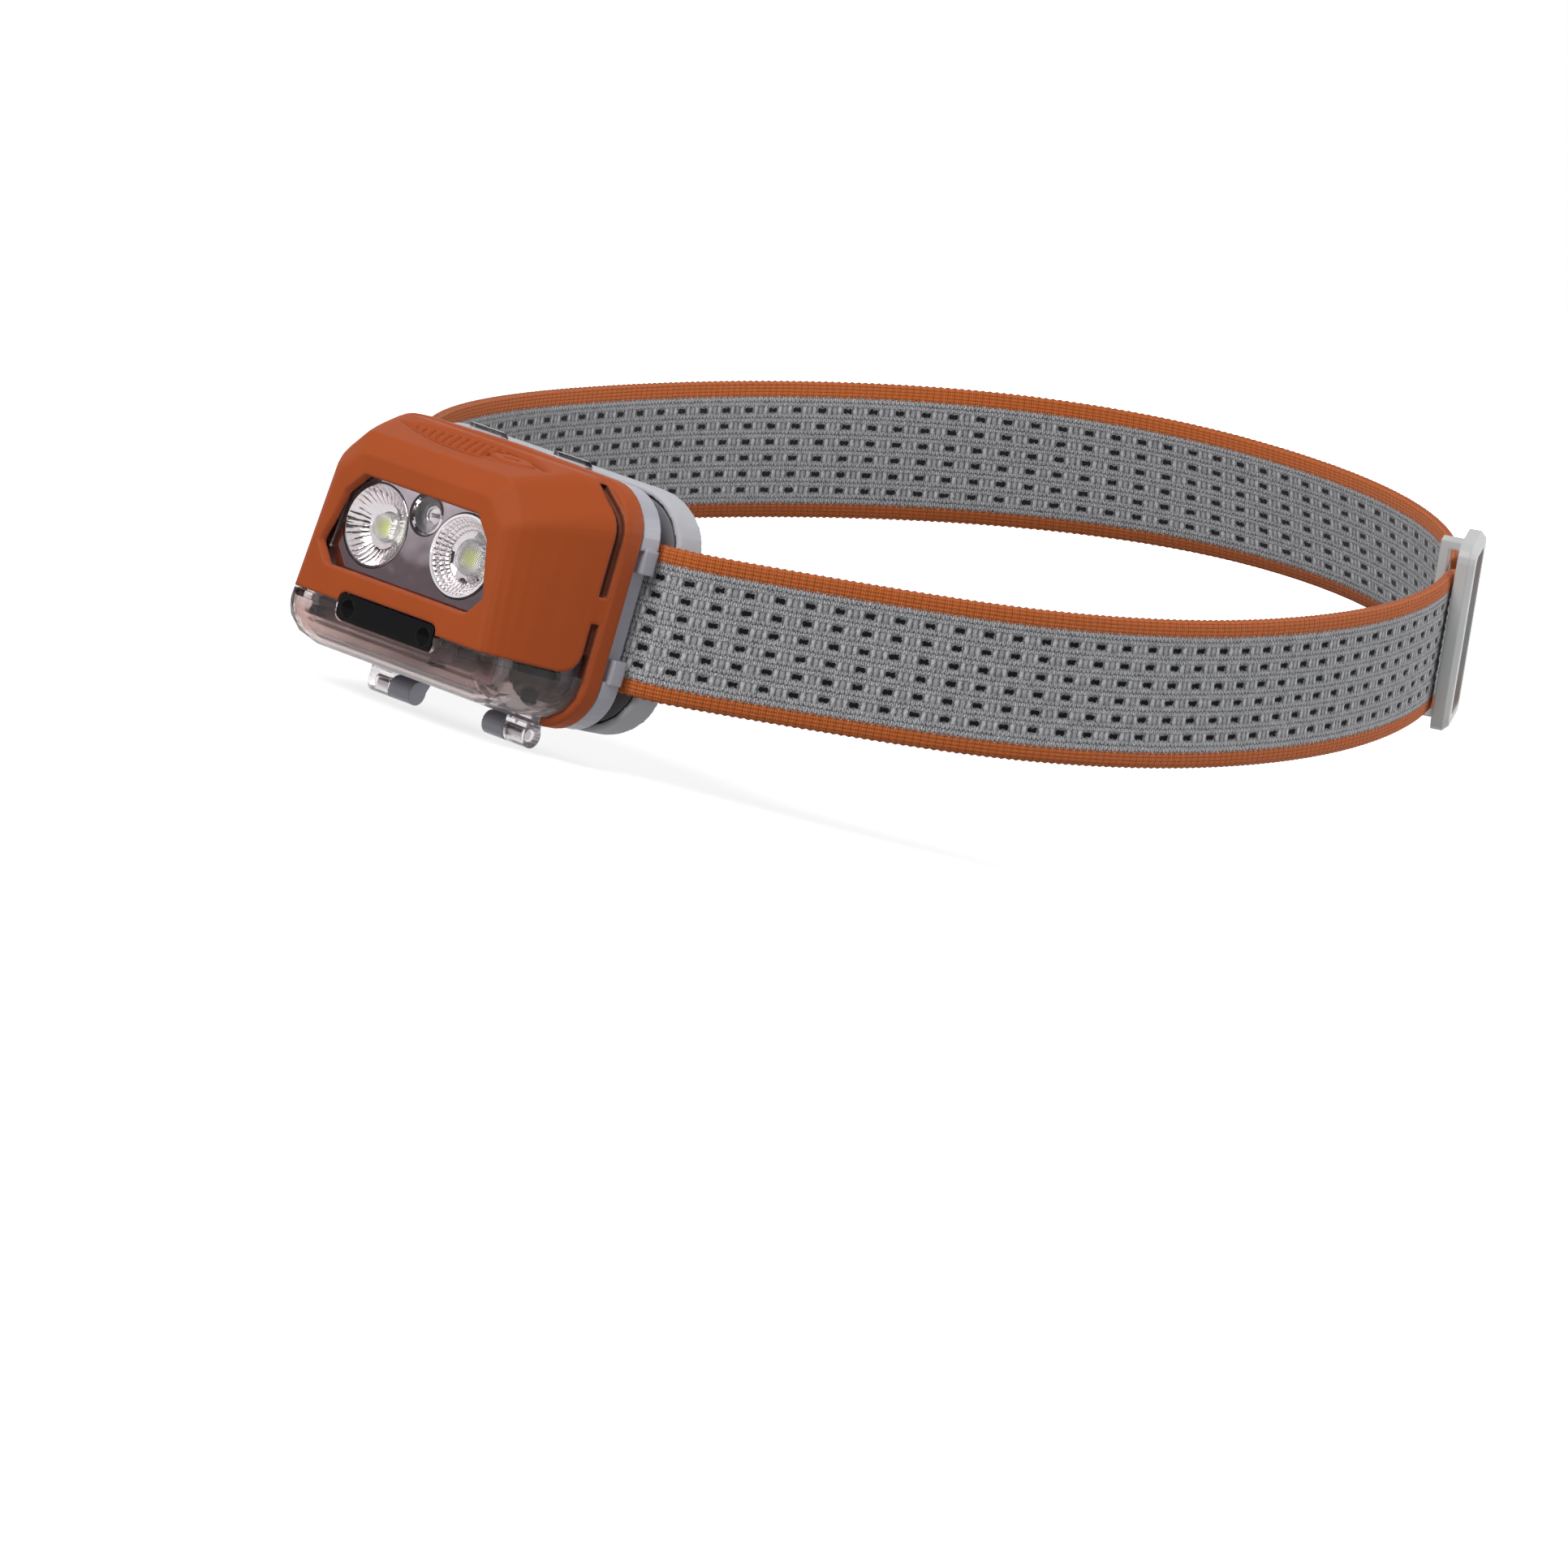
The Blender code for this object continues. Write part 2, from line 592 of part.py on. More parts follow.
def build_front_cover():
    """Soft cover over the front, with its window bezel, side slots and rear rim."""
    cover = unite(hull("front_cover", 0.0, HULL_DEPTH + WELD, 0.0), build_rim())
    inside_end = HULL_DEPTH + RIM_DEPTH + OVERCUT
    cut(cover, hull("cover_inside", RECESS_DEPTH - GAP, inside_end, COVER_WALL))
    chin = [Vector((FRONT_Y - OVERCUT, -RIM_HEIGHT)), Vector((FRONT_Y - OVERCUT, SPLIT_Z))]
    chin += corner_arc((SLOT_FRONT_Y, SPLIT_Z), COVER_LOWER_CORNER)
    slot_foot = SPLIT_Z + COVER_LOWER_CORNER
    chin += [Vector((SLOT_BACK_Y, slot_foot)), Vector((SLOT_BACK_Y, -RIM_HEIGHT))]
    cut(cover, bar("chin_cut", chin, -RIM_WIDTH, RIM_WIDTH))
    for low, high in ((slot_foot - WELD, -SLOT_BRIDGE_HALF), (SLOT_BRIDGE_HALF, SLOT_TOP_Z)):
        slot = block("slot_cut", (-RIM_WIDTH, SLOT_FRONT_Y, low), (RIM_WIDTH, SLOT_BACK_Y, high))
        cut(cover, cut(slot, hull("slot_floor", 0.0, HULL_DEPTH + OVERCUT, COVER_WALL - SLOT_FLOOR)))
    cut(cover, block("lip_cut", (-LIP_HALF - GAP, RIM_FRONT_Y - OVERCUT, -RIM_HEIGHT),
                     (LIP_HALF + GAP, RIM_BACK_Y + OVERCUT, LIP_TOP_Z + WELD)))
    draft = WINDOW_DRAFT / RECESS_DEPTH
    window = solid("window_cut", [
        at_depth(window_outline(-draft * OVERCUT), FRONT_Y - OVERCUT),
        at_depth(window_outline(draft * (RECESS_DEPTH + OVERCUT)), PANE_Y + OVERCUT)])
    notch = prism("sensor_notch", sensor_outline(GAP), FRONT_Y - OVERCUT, PANE_Y + OVERCUT)
    well = button_loft("button_well", [
        (well_outline(0.0), -COVER_WALL - OVERCUT), (well_outline(0.0), 0.0),
        (well_outline(BUTTON_DRAFT * OVERCUT), OVERCUT)])
    return cut(cover, window, notch, well)


def build_clear_shell():
    """Clear housing: window pane, walls under the soft cover, and the open chin."""
    shell_depth = SHELL_BACK_Y - FRONT_Y
    shell = hull("clear_shell", RECESS_DEPTH, shell_depth, SHELL_INSET)
    chin_end = SLOT_BACK_Y - GAP - FRONT_Y
    chin = hull("chin", 0.0, chin_end, 0.0)
    below = block("below", (-RIM_WIDTH, FRONT_Y - OVERCUT, -RIM_HEIGHT),
                  (RIM_WIDTH, RIM_BACK_Y, SPLIT_Z - GAP))
    unite(shell, combine(chin, below, "INTERSECT"))
    cut(shell, hull("cavity", RECESS_DEPTH + SHELL_WALL, shell_depth + OVERCUT, CAVITY_INSET))
    chin_cavity = hull("chin_cavity", SHELL_WALL, chin_end - SHELL_WALL, SHELL_WALL)
    below = block("below", (-RIM_WIDTH, FRONT_Y - OVERCUT, -RIM_HEIGHT),
                  (RIM_WIDTH, RIM_BACK_Y, SPLIT_Z - GAP - SHELL_WALL))
    cut(shell, combine(chin_cavity, below, "INTERSECT"))
    cut(shell, prism("sensor_hole", sensor_outline(GAP), FRONT_Y - OVERCUT,
                     PANE_Y + SHELL_WALL + OVERCUT))
    cut(shell, button_loft("button_room", [
        (well_outline(0.0), -BUTTON_THICKNESS - BUTTON_TRAVEL - GAP), (well_outline(0.0), OVERCUT)]))
    cut(shell, stem_cylinder("stem_hole", STEM_RADIUS + GAP, -CAVITY_INSET - OVERCUT, OVERCUT))
    return shell


def bowl_radius(share):
    """Inner radius of a reflector from its throat (0) to its rim (1)."""
    return lerp(REFLECTOR_THROAT, REFLECTOR_RADIUS, math.sqrt(share))


def bowl_y(share):
    """Depth of a reflector's section from its throat (0) to its rim (1)."""
    return lerp(REFLECTOR_BACK_Y, REFLECTOR_FRONT_Y, share)


def build_spot_reflector(middle):
    """Smooth deep bowl for the far beam."""
    shares = [0.0, 0.08, 0.25, 0.5, 0.75, 1.0]
    inner = [(bowl_radius(share), bowl_y(share)) for share in shares]
    edge = REFLECTOR_RADIUS + REFLECTOR_WALL
    outer = [(min(radius + 2 * REFLECTOR_WALL, edge), y) for radius, y in reversed(inner)]
    return turned("spot_reflector", inner + outer, middle)


def build_flood_reflector(middle):
    """Stepped bowl for the wide beam."""
    inner = [(REFLECTOR_THROAT, REFLECTOR_BACK_Y)]
    for step in range(1, FLOOD_STEPS + 1):
        low, high = (step - 0.5) / FLOOD_STEPS, step / FLOOD_STEPS
        inner += [(bowl_radius(low), bowl_y(low)), (bowl_radius(high), bowl_y((low + high) / 2))]
    inner.append((REFLECTOR_RADIUS, REFLECTOR_FRONT_Y))
    edge = REFLECTOR_RADIUS + REFLECTOR_WALL
    throat = REFLECTOR_THROAT + 2 * REFLECTOR_WALL
    outer = [(edge, REFLECTOR_FRONT_Y), (edge, bowl_y(0.6)), (throat, REFLECTOR_BACK_Y)]
    return turned("flood_reflector", inner + outer, middle)


def build_mirror_plate():
    """Mirror plate behind the pane, open for the two reflectors and the signal light."""
    back = REFLECTOR_FRONT_Y + PLATE_MIRROR_THICKNESS
    plate = prism("reflector_plate", window_outline(WINDOW_DRAFT), REFLECTOR_FRONT_Y, back)
    bore = REFLECTOR_RADIUS + REFLECTOR_WALL + GAP
    holes = [(bore, (-LAMP_SPACING / 2, LAMP_Z)), (bore, (LAMP_SPACING / 2, LAMP_Z)),
             (SIGNAL_RADIUS + GAP, (0.0, SIGNAL_Z))]
    for radius, middle in holes:
        cut(plate, prism("bore", circle(radius, ROUND_SIDES, middle),
                         REFLECTOR_FRONT_Y - OVERCUT, back + OVERCUT))
    return plate


def build_led(name, middle):
    """Square light source with a low dome of phosphor."""
    x, z = middle
    face = REFLECTOR_BACK_Y - LED_HEIGHT
    led = block(name, (x - LED_SIDE / 2, face, z - LED_SIDE / 2),
                (x + LED_SIDE / 2, REFLECTOR_BACK_Y, z + LED_SIDE / 2))
    profile = [(LED_DOME_RADIUS, face + WELD)]
    for angle in (0, 30, 60):
        turn = math.radians(angle)
        profile.append((LED_DOME_RADIUS * math.cos(turn), face - LED_DOME_RADIUS * math.sin(turn)))
    return unite(led, spigot("dome", profile, middle, SMALL_SIDES))


def build_signal_light():
    """Chrome collar and the round-nosed clear light inside it."""
    middle = (0.0, SIGNAL_Z)
    bore = SIGNAL_RADIUS - SIGNAL_WALL
    collar = turned("signal_collar", [
        (bore, REFLECTOR_BACK_Y), (bore, REFLECTOR_FRONT_Y + SIGNAL_WALL),
        (SIGNAL_RADIUS - SIGNAL_WALL / 2, REFLECTOR_FRONT_Y),
        (SIGNAL_RADIUS, REFLECTOR_FRONT_Y + SIGNAL_WALL / 2),
        (SIGNAL_RADIUS, REFLECTOR_BACK_Y)], middle)
    radius = bore - GAP
    nose = REFLECTOR_FRONT_Y + SIGNAL_WALL
    dome = SIGNAL_DOME * (REFLECTOR_BACK_Y - nose)
    profile = [(radius, REFLECTOR_BACK_Y)]
    for angle in (0, 25, 50, 75):
        turn = math.radians(angle)
        profile.append((radius * math.cos(turn), nose + dome * (1 - math.sin(turn))))
    return collar, spigot("signal_led", profile, middle, SMALL_SIDES)


def build_sensor():
    """Black sensor window, its sender and receiver, and the small board behind them."""
    window = prism("sensor_window", sensor_outline(0.0), FRONT_Y - OVERCUT,
                   FRONT_Y + SENSOR_THICKNESS)
    combine(window, hull("flush", 0.0, HULL_DEPTH, 0.0), "INTERSECT")
    middle_z = (SENSOR_TOP_Z + SENSOR_FOOT_Z) / 2
    eye_front = FRONT_Y + SENSOR_THICKNESS + GAP
    eye_back = eye_front + SENSOR_EYE_LENGTH
    eyes = []
    for name, side in (("ir_emitter", -1), ("ir_receiver", 1)):
        middle = (side * (SENSOR_HALF - SENSOR_EYE_INSET), middle_z)
        profile = [(SENSOR_EYE_RADIUS, eye_back), (SENSOR_EYE_RADIUS, eye_front + GAP),
                   (SENSOR_EYE_RADIUS - GAP, eye_front)]
        eyes.append(spigot(name, profile, middle, SMALL_SIDES))
    board_front = eye_back + GAP
    outline = rectangle(2 * (SENSOR_HALF + SENSOR_BOARD_MARGIN),
                        SENSOR_TOP_Z - SENSOR_FOOT_Z + SENSOR_BOARD_MARGIN, SENSOR_CORNER,
                        ARC_STEPS, (0.0, middle_z))
    board = prism("sensor_board", outline, board_front, board_front + SENSOR_BOARD_THICKNESS)
    return [window, board] + eyes


def build_power():
    """Main board, flat cell and the two leaf contacts between them."""
    board = prism("led_board", hull_outline(BOARD_FRONT_Y - FRONT_Y, CAVITY_INSET + GAP),
                  BOARD_FRONT_Y, BOARD_BACK_Y)
    rings = []
    levels = ((CELL_FRONT_Y, CELL_EDGE), (CELL_FRONT_Y + CELL_EDGE, 0.0),
              (CELL_BACK_Y - CELL_EDGE, 0.0), (CELL_BACK_Y, CELL_EDGE))
    for y, shrink in levels:
        outline = rectangle(CELL_WIDTH - 2 * shrink, CELL_HEIGHT - 2 * shrink, 2 * CELL_EDGE - shrink)
        rings.append(at_depth(outline, y))
    cell = solid("power_cell", rings)
    contacts = []
    for name, side in (("contact_left", -1), ("contact_right", 1)):
        x = side * CONTACT_SPACING / 2
        outline = rectangle(CONTACT_WIDTH, CONTACT_HEIGHT, CONTACT_WIDTH / 3, ARC_STEPS, (x, 0.0))
        contacts.append(prism(name, outline, BOARD_BACK_Y + GAP, CELL_FRONT_Y - GAP))
    return [board, cell] + contacts


def build_switch():
    """Press switch soldered behind the main board, under the button's stem."""
    low = (-SWITCH_WIDTH / 2, SWITCH_FRONT_Y, SWITCH_TOP_Z - SWITCH_HEIGHT)
    high = (SWITCH_WIDTH / 2, SWITCH_FRONT_Y + SWITCH_DEPTH, SWITCH_TOP_Z)
    return block("tact_switch", low, high)


def build_button():
    """Leaf-shaped button sunk towards its rear, with a raised eye and a stem to the switch."""
    outline = leaf(BUTTON_LENGTH, BUTTON_WIDTH)
    button = button_loft("button", [(outline, -BUTTON_THICKNESS), (outline, 0.0)])
    eye_width = BUTTON_WIDTH * 0.5
    eye = [point + Vector((BUTTON_LENGTH * 0.22, 0.0)) for point in leaf(BUTTON_EYE_LENGTH, eye_width)]
    stem_foot = SWITCH_TOP_Z + BUTTON_TRAVEL + 2 * GAP
    reach = (stem_frame().translation.z - stem_foot) / math.cos(BUTTON_SLOPE)
    unite(button, button_loft("eye", [(eye, -BUTTON_THICKNESS / 2), (eye, BUTTON_EYE_HEIGHT)]))
    return unite(button, stem_cylinder("stem", STEM_RADIUS, -reach, -BUTTON_THICKNESS / 2))


def catch_outline():
    """Side outline of a catch: rooted in the rear cover, it steps over the rim's top."""
    root_top = BODY_TOP_Z - SHELL_INSET - GAP
    top = RIM_HEIGHT / 2 + CATCH_PROUD
    back = RIM_BACK_Y + CATCH_REACH
    return [Vector(point) for point in (
        (RIM_BACK_Y - WELD, root_top - CATCH_ROOT), (back, root_top - CATCH_ROOT),
        (back, top - CATCH_PROUD), (back - CATCH_PROUD, top), (RIM_BACK_Y + GAP, top),
        (RIM_BACK_Y + GAP, root_top), (RIM_BACK_Y - WELD, root_top))]


def arm_outline():
    """Side outline of the arm from the rear cover down to the hinge axis."""
    foot = BODY_FOOT_Z + SHELL_INSET
    return [Vector(point) for point in (
        (RIM_BACK_Y - WELD, foot + KNUCKLE_ROOT), (HINGE_Y, foot + KNUCKLE_ROOT),
        (HINGE_Y + 0.9 * KNUCKLE_RADIUS, HINGE_Z), (RIM_BACK_Y + GAP, HINGE_Z),
        (RIM_BACK_Y + GAP, foot + GAP), (RIM_BACK_Y - WELD, foot + GAP))]


def ear_outline():
    """Side outline of the ear between the clear foot of the rim and the hinge axis."""
    front, top = HINGE_Y - KNUCKLE_RADIUS, -RIM_HEIGHT / 2 + WELD
    return [Vector(point) for point in (
        (front, HINGE_Z), (front, top), (RIM_BACK_Y - 2 * WELD, top), (RIM_BACK_Y + 2 * GAP, HINGE_Z))]


def build_lip():
    """Clear foot of the rim, with a ridge that runs up into the rear cover."""
    back = RIM_BACK_Y - WELD
    room = block("room", (-LIP_HALF, RIM_FRONT_Y - OVERCUT, -RIM_HEIGHT), (LIP_HALF, back, LIP_TOP_Z))
    lip = combine(build_rim(), room, "INTERSECT")
    return unite(lip, block("ridge", (-LIP_HALF + WELD, REAR_COVER_Y + WELD, LIP_TOP_Z - WELD),
                            (LIP_HALF - WELD, back - WELD, LIP_TOP_Z + GAP + 2 * WELD)))


def side_span(side, near, far):
    """Low and high X of a span given by its distances from the middle."""
    return sorted((side * near, side * far))


def build_rear_cover():
    """Clear rear cover with two catches on top and the lamp's hinge knuckles below."""
    cover = prism("rear_cover", rear_outline(SHELL_INSET), REAR_COVER_Y, RIM_BACK_Y)
    unite(cover, build_lip())
    for side in (-1, 1):
        near, far = CATCH_SPACING / 2 - CATCH_WIDTH / 2, CATCH_SPACING / 2 + CATCH_WIDTH / 2
        unite(cover, bar("catch", catch_outline(), *side_span(side, near, far)))
        span = side_span(side, KNUCKLE_OUTER, KNUCKLE_OUTER + KNUCKLE_WIDTH)
        knuckle = unite(bar("arm", arm_outline(), *span),
                        pin_along_x("knuckle", KNUCKLE_RADIUS, *span), bar("ear", ear_outline(), *span))
        unite(cover, knuckle)
        bore = side_span(side, KNUCKLE_OUTER - OVERCUT, KNUCKLE_OUTER + KNUCKLE_WIDTH - PIN_WALL)
        cut(cover, pin_along_x("bore", PIN_RADIUS + GAP, *bore))
    return cover


def build_hinge_pin(name, side):
    """Plain pin between the closed ends of one bracket knuckle and one lamp knuckle."""
    inner = KNUCKLE_INNER + PIN_WALL + GAP
    outer = KNUCKLE_OUTER + KNUCKLE_WIDTH - PIN_WALL - GAP
    return pin_along_x(name, PIN_RADIUS, *side_span(side, inner, outer))


def build_seal():
    """Flat seal between the clear shell and the rear cover."""
    return frame_ring("rear_seal", rear_outline(SHELL_INSET), rear_outline(CAVITY_INSET),
                      SEAL_Y, SEAL_Y + SEAL_THICKNESS)


def boss_places():
    """Middles of the four bosses that carry the forehead plate."""
    return [(x * BOSS_SPACING_X / 2, z * BOSS_Z) for x in (-1, 1) for z in (-1, 1)]


def build_bracket():
    """Grey carrier: a tray with ribs, strap tabs, plate bosses and hinge knuckles."""
    bracket = prism("bracket", rim_outline(BRACKET_HEIGHT, 0.0), BRACKET_FRONT_Y, BRACKET_BACK_Y)
    cut(bracket, prism("tray", rim_outline(BRACKET_HEIGHT, BRACKET_WALL),
                       BRACKET_FRONT_Y - OVERCUT, BRACKET_FLOOR_Y))
    for i in range(RIB_COUNT):
        x = (i - (RIB_COUNT - 1) / 2) * RIB_SPACING
        unite(bracket, block("rib", (x - RIB_WIDTH / 2, BRACKET_FLOOR_Y - RIB_HEIGHT, -RIB_LENGTH / 2),
                             (x + RIB_WIDTH / 2, BRACKET_FLOOR_Y + WELD, RIB_LENGTH / 2)))
    for side in (-1, 1):
        shape_bracket_side(bracket, side)
    for middle in boss_places():
        unite(bracket, prism("boss", circle(BOSS_RADIUS, SMALL_SIDES, middle),
                             BRACKET_BACK_Y - WELD, STRAP_Y + STRAP_THICKNESS / 2))
        cut(bracket, prism("screw_hole", circle(SCREW_RADIUS + GAP, SMALL_SIDES, middle),
                           BRACKET_FRONT_Y - OVERCUT, PLATE_Y))
    return bracket


def shape_bracket_side(bracket, side):
    """Cut one side's notches and add its strap tabs and hinge knuckle."""
    edge = RIM_WIDTH / 2 - SIDE_NOTCH
    notch = TAB_Z + TAB_HEIGHT / 2 - WELD
    low, high = side_span(side, edge, RIM_WIDTH)
    cut(bracket, block("side_notch", (low, BRACKET_FRONT_Y - OVERCUT, -notch),
                       (high, BRACKET_BACK_Y + OVERCUT, notch)))
    low, high = side_span(side, edge - WELD, edge + TAB_REACH)
    for z in (-TAB_Z, TAB_Z):
        unite(bracket, block("tab", (low, BRACKET_BACK_Y - TAB_DEPTH, z - TAB_HEIGHT / 2),
                             (high, BRACKET_BACK_Y - WELD, z + TAB_HEIGHT / 2)))
    near, far = CATCH_SPACING / 2 - CATCH_WIDTH / 2, CATCH_SPACING / 2 + CATCH_WIDTH / 2
    low, high = side_span(side, near - GAP, far + GAP)
    catch_foot = BODY_TOP_Z - SHELL_INSET - CATCH_ROOT - 2 * GAP
    cut(bracket, block("catch_notch", (low, BRACKET_FRONT_Y - OVERCUT, catch_foot),
                       (high, RIM_BACK_Y + CATCH_REACH + GAP, RIM_HEIGHT)))
    low, high = side_span(side, KNUCKLE_OUTER - GAP / 2, KNUCKLE_OUTER + KNUCKLE_WIDTH + GAP)
    arm_top = BODY_FOOT_Z + SHELL_INSET + KNUCKLE_ROOT + GAP
    cut(bracket, block("arm_notch", (low, BRACKET_FRONT_Y - OVERCUT, -RIM_HEIGHT),
                       (high, HINGE_Y + KNUCKLE_RADIUS + GAP, arm_top)))
    span = side_span(side, KNUCKLE_INNER, KNUCKLE_INNER + KNUCKLE_WIDTH)
    root = -BRACKET_HEIGHT / 2 + BRACKET_WALL / 2
    lug = [Vector(point) for point in (
        (BRACKET_FRONT_Y + WELD, HINGE_Z), (BRACKET_FRONT_Y + WELD, root),
        (BRACKET_BACK_Y - WELD, root), (HINGE_Y + 0.9 * KNUCKLE_RADIUS, HINGE_Z))]
    knuckle = unite(bar("lug", lug, *span), pin_along_x("knuckle", KNUCKLE_RADIUS, *span))
    unite(bracket, knuckle)
    bore = side_span(side, KNUCKLE_INNER + PIN_WALL, KNUCKLE_INNER + KNUCKLE_WIDTH + GAP)
    cut(bracket, pin_along_x("bore", PIN_RADIUS + GAP, *bore))


def bend(x):
    """How far the forehead plate has bent back at a distance from its middle."""
    reach = max(abs(x) - PAD_FLAT_HALF, 0.0)
    return PAD_BEND_RADIUS - math.sqrt(PAD_BEND_RADIUS ** 2 - reach ** 2)


def bent_plate(name, width, height, corner, y_front, y_back):
    """Rounded plate whose sides bend back to follow a forehead."""
    half = width / 2
    stations = [-half, half]
    for step in range(PAD_STEPS):
        stations.append(half - corner * (1 - math.cos(math.pi / 2 * (step + 1) / PAD_STEPS)))
        stations.append(-stations[-1])
    straight = half - corner
    for share in (0.25, 0.5, 0.75):
        stations += [lerp(PAD_FLAT_HALF, straight, share), -lerp(PAD_FLAT_HALF, straight, share)]
    stations += [PAD_FLAT_HALF, -PAD_FLAT_HALF]
    rings = []
    for x in sorted(stations):
        over = max(abs(x) - straight, 0.0)
        top = height / 2 - corner + math.sqrt(max(corner ** 2 - over ** 2, 0.0))
        front, back = y_front + bend(x), y_back + bend(x)
        rings.append([Vector((x, front, top)), Vector((x, back, top)),
                      Vector((x, back, -top)), Vector((x, front, -top))])
    return solid(name, rings)


def build_back_plate():
    """Stiff plate behind the strap, with counterbored holes for its four screws."""
    inset = PAD_LIP_WIDTH + GAP
    plate = bent_plate("back_plate", PAD_WIDTH - 2 * inset, PAD_HEIGHT - 2 * inset,
                       PAD_CORNER - inset, PLATE_Y - PLATE_THICKNESS, PLATE_Y)
    for middle in boss_places():
        seat = PLATE_Y - SCREW_HEAD_LENGTH - GAP
        profile = [(SCREW_HEAD_RADIUS + GAP, PLATE_Y + OVERCUT), (SCREW_HEAD_RADIUS + GAP, seat),
                   (SCREW_RADIUS + GAP, seat),
                   (SCREW_RADIUS + GAP, PLATE_Y - PLATE_THICKNESS - OVERCUT)]
        cut(plate, spigot("stepped_hole", profile, middle, SMALL_SIDES))
    return plate


def build_forehead_pad():
    """Soft pad with a lip that wraps round the stiff plate."""
    pad = bent_plate("forehead_pad", PAD_WIDTH, PAD_HEIGHT, PAD_CORNER,
                     PLATE_Y - PLATE_THICKNESS - PAD_LIP, 0.0)
    hollow = bent_plate("hollow", PAD_WIDTH - 2 * PAD_LIP_WIDTH, PAD_HEIGHT - 2 * PAD_LIP_WIDTH,
                        PAD_CORNER - PAD_LIP_WIDTH, PLATE_Y - PLATE_THICKNESS - PAD_LIP - OVERCUT,
                        -PAD_THICKNESS)
    return cut(pad, hollow)


def build_screw(name, middle):
    """Plate screw, its head sunk in the plate's back."""
    head = PLATE_Y - SCREW_HEAD_LENGTH
    profile = [(SCREW_HEAD_RADIUS, PLATE_Y - GAP), (SCREW_HEAD_RADIUS, head),
               (SCREW_RADIUS, head), (SCREW_RADIUS, PLATE_Y - SCREW_LENGTH)]
    return spigot(name, profile, middle, SMALL_SIDES)


def head_point(angle):
    """Point of the head's outline: -90 degrees at the forehead, +90 at the back."""
    half_length = LOOP_LENGTH / 2
    c, s = math.cos(angle), math.sin(angle)
    x = LOOP_HALF_WIDTH * abs(c) ** (2 / LOOP_POWER)
    y = half_length + half_length * math.copysign(abs(s) ** (2 / LOOP_POWER), s)
    return Vector((x, y))


def right_half_path(steps=400):
    """Middle line of the strap on the +X side: straight, then tangent to the head."""
    corner = Vector((LOOP_STRAIGHT_HALF, STRAP_Y))
    angles = [-math.pi / 2 + math.pi * i / steps for i in range(steps + 1)]
    ahead = [a for a in angles if head_point(a).x > corner.x and a < 0.0]
    touch = min(ahead, key=lambda a: math.atan2(head_point(a).y - corner.y,
                                                head_point(a).x - corner.x))
    around = [head_point(a) for a in angles if a >= touch]
    return [Vector((0.0, STRAP_Y)), corner] + around


def walk(path, spacing):
    """Points at an even spacing along a path, both ends kept."""
    lengths = [(b - a).length for a, b in zip(path, path[1:])]
    count = max(round(sum(lengths) / spacing), 2)
    step = sum(lengths) / count
    points, index, passed = [], 0, 0.0
    for i in range(count + 1):
        target = min(i * step, sum(lengths))
        while index < len(lengths) - 1 and passed + lengths[index] < target:
            passed += lengths[index]
            index += 1
        share = (target - passed) / lengths[index]
        points.append(path[index].lerp(path[index + 1], min(share, 1.0)))
    return points


def loop_path():
    """Closed middle line of the strap in plan, with its bends eased."""
    half = walk(right_half_path(), LOOP_STEP)
    left = [Vector((-point.x, point.y)) for point in reversed(half[1:-1])]
    loop = half + left
    count = len(loop)
    for _ in range(3):
        loop = [(loop[i - 1] + 2 * loop[i] + loop[(i + 1) % count]) / 4 for i in range(count)]
    return loop


def band_frame(before, here, after):
    """Place, direction, outward side and upward side of the band at a point of its path."""
    depth = LOOP_LENGTH - STRAP_Y

    def lifted(point):
        share = (point.y - STRAP_Y) / depth
        return Vector((point.x, point.y, LOOP_RISE * share + LOOP_LIFT * share ** 2))

    place = lifted(here)
    along = (lifted(after) - lifted(before)).normalized()
    outward = along.cross(Vector((0.0, 0.0, 1.0))).normalized()
    upward = outward.cross(along)
    share = max((here.y - LOOP_LENGTH / 2) / (LOOP_LENGTH / 2), 0.0)
    lean = LOOP_LEAN * share ** LOOP_LEAN_POWER
    turned_up = upward * math.cos(lean) + outward * math.sin(lean)
    turned_out = outward * math.cos(lean) - upward * math.sin(lean)
    return place, along, turned_out, turned_up


def band_frames():
    """Frames of the band all round the loop, with its sides facing out."""
    loop = loop_path()
    count = len(loop)
    return [band_frame(loop[i - 1], loop[i], loop[(i + 1) % count]) for i in range(count)]


def build_strap():
    """Elastic band round the head."""
    rings = []
    for place, _, outward, upward in band_frames():
        out, up = outward * STRAP_THICKNESS / 2, upward * STRAP_WIDTH / 2
        rings.append([place + out + up, place + out - up, place - out - up, place - out + up])
    return solid("strap", rings, closed=True)


def slider_frame():
    """Frame of the slider: X along the band, Y outward, Z up the band."""
    target = head_point(SLIDER_ANGLE)
    place, along, outward, upward = min(
        band_frames(), key=lambda frame: (frame[0].xy - target).length)
    frame = Matrix((-along, outward, upward)).transposed().to_4x4()
    return Matrix.Translation(place) @ frame


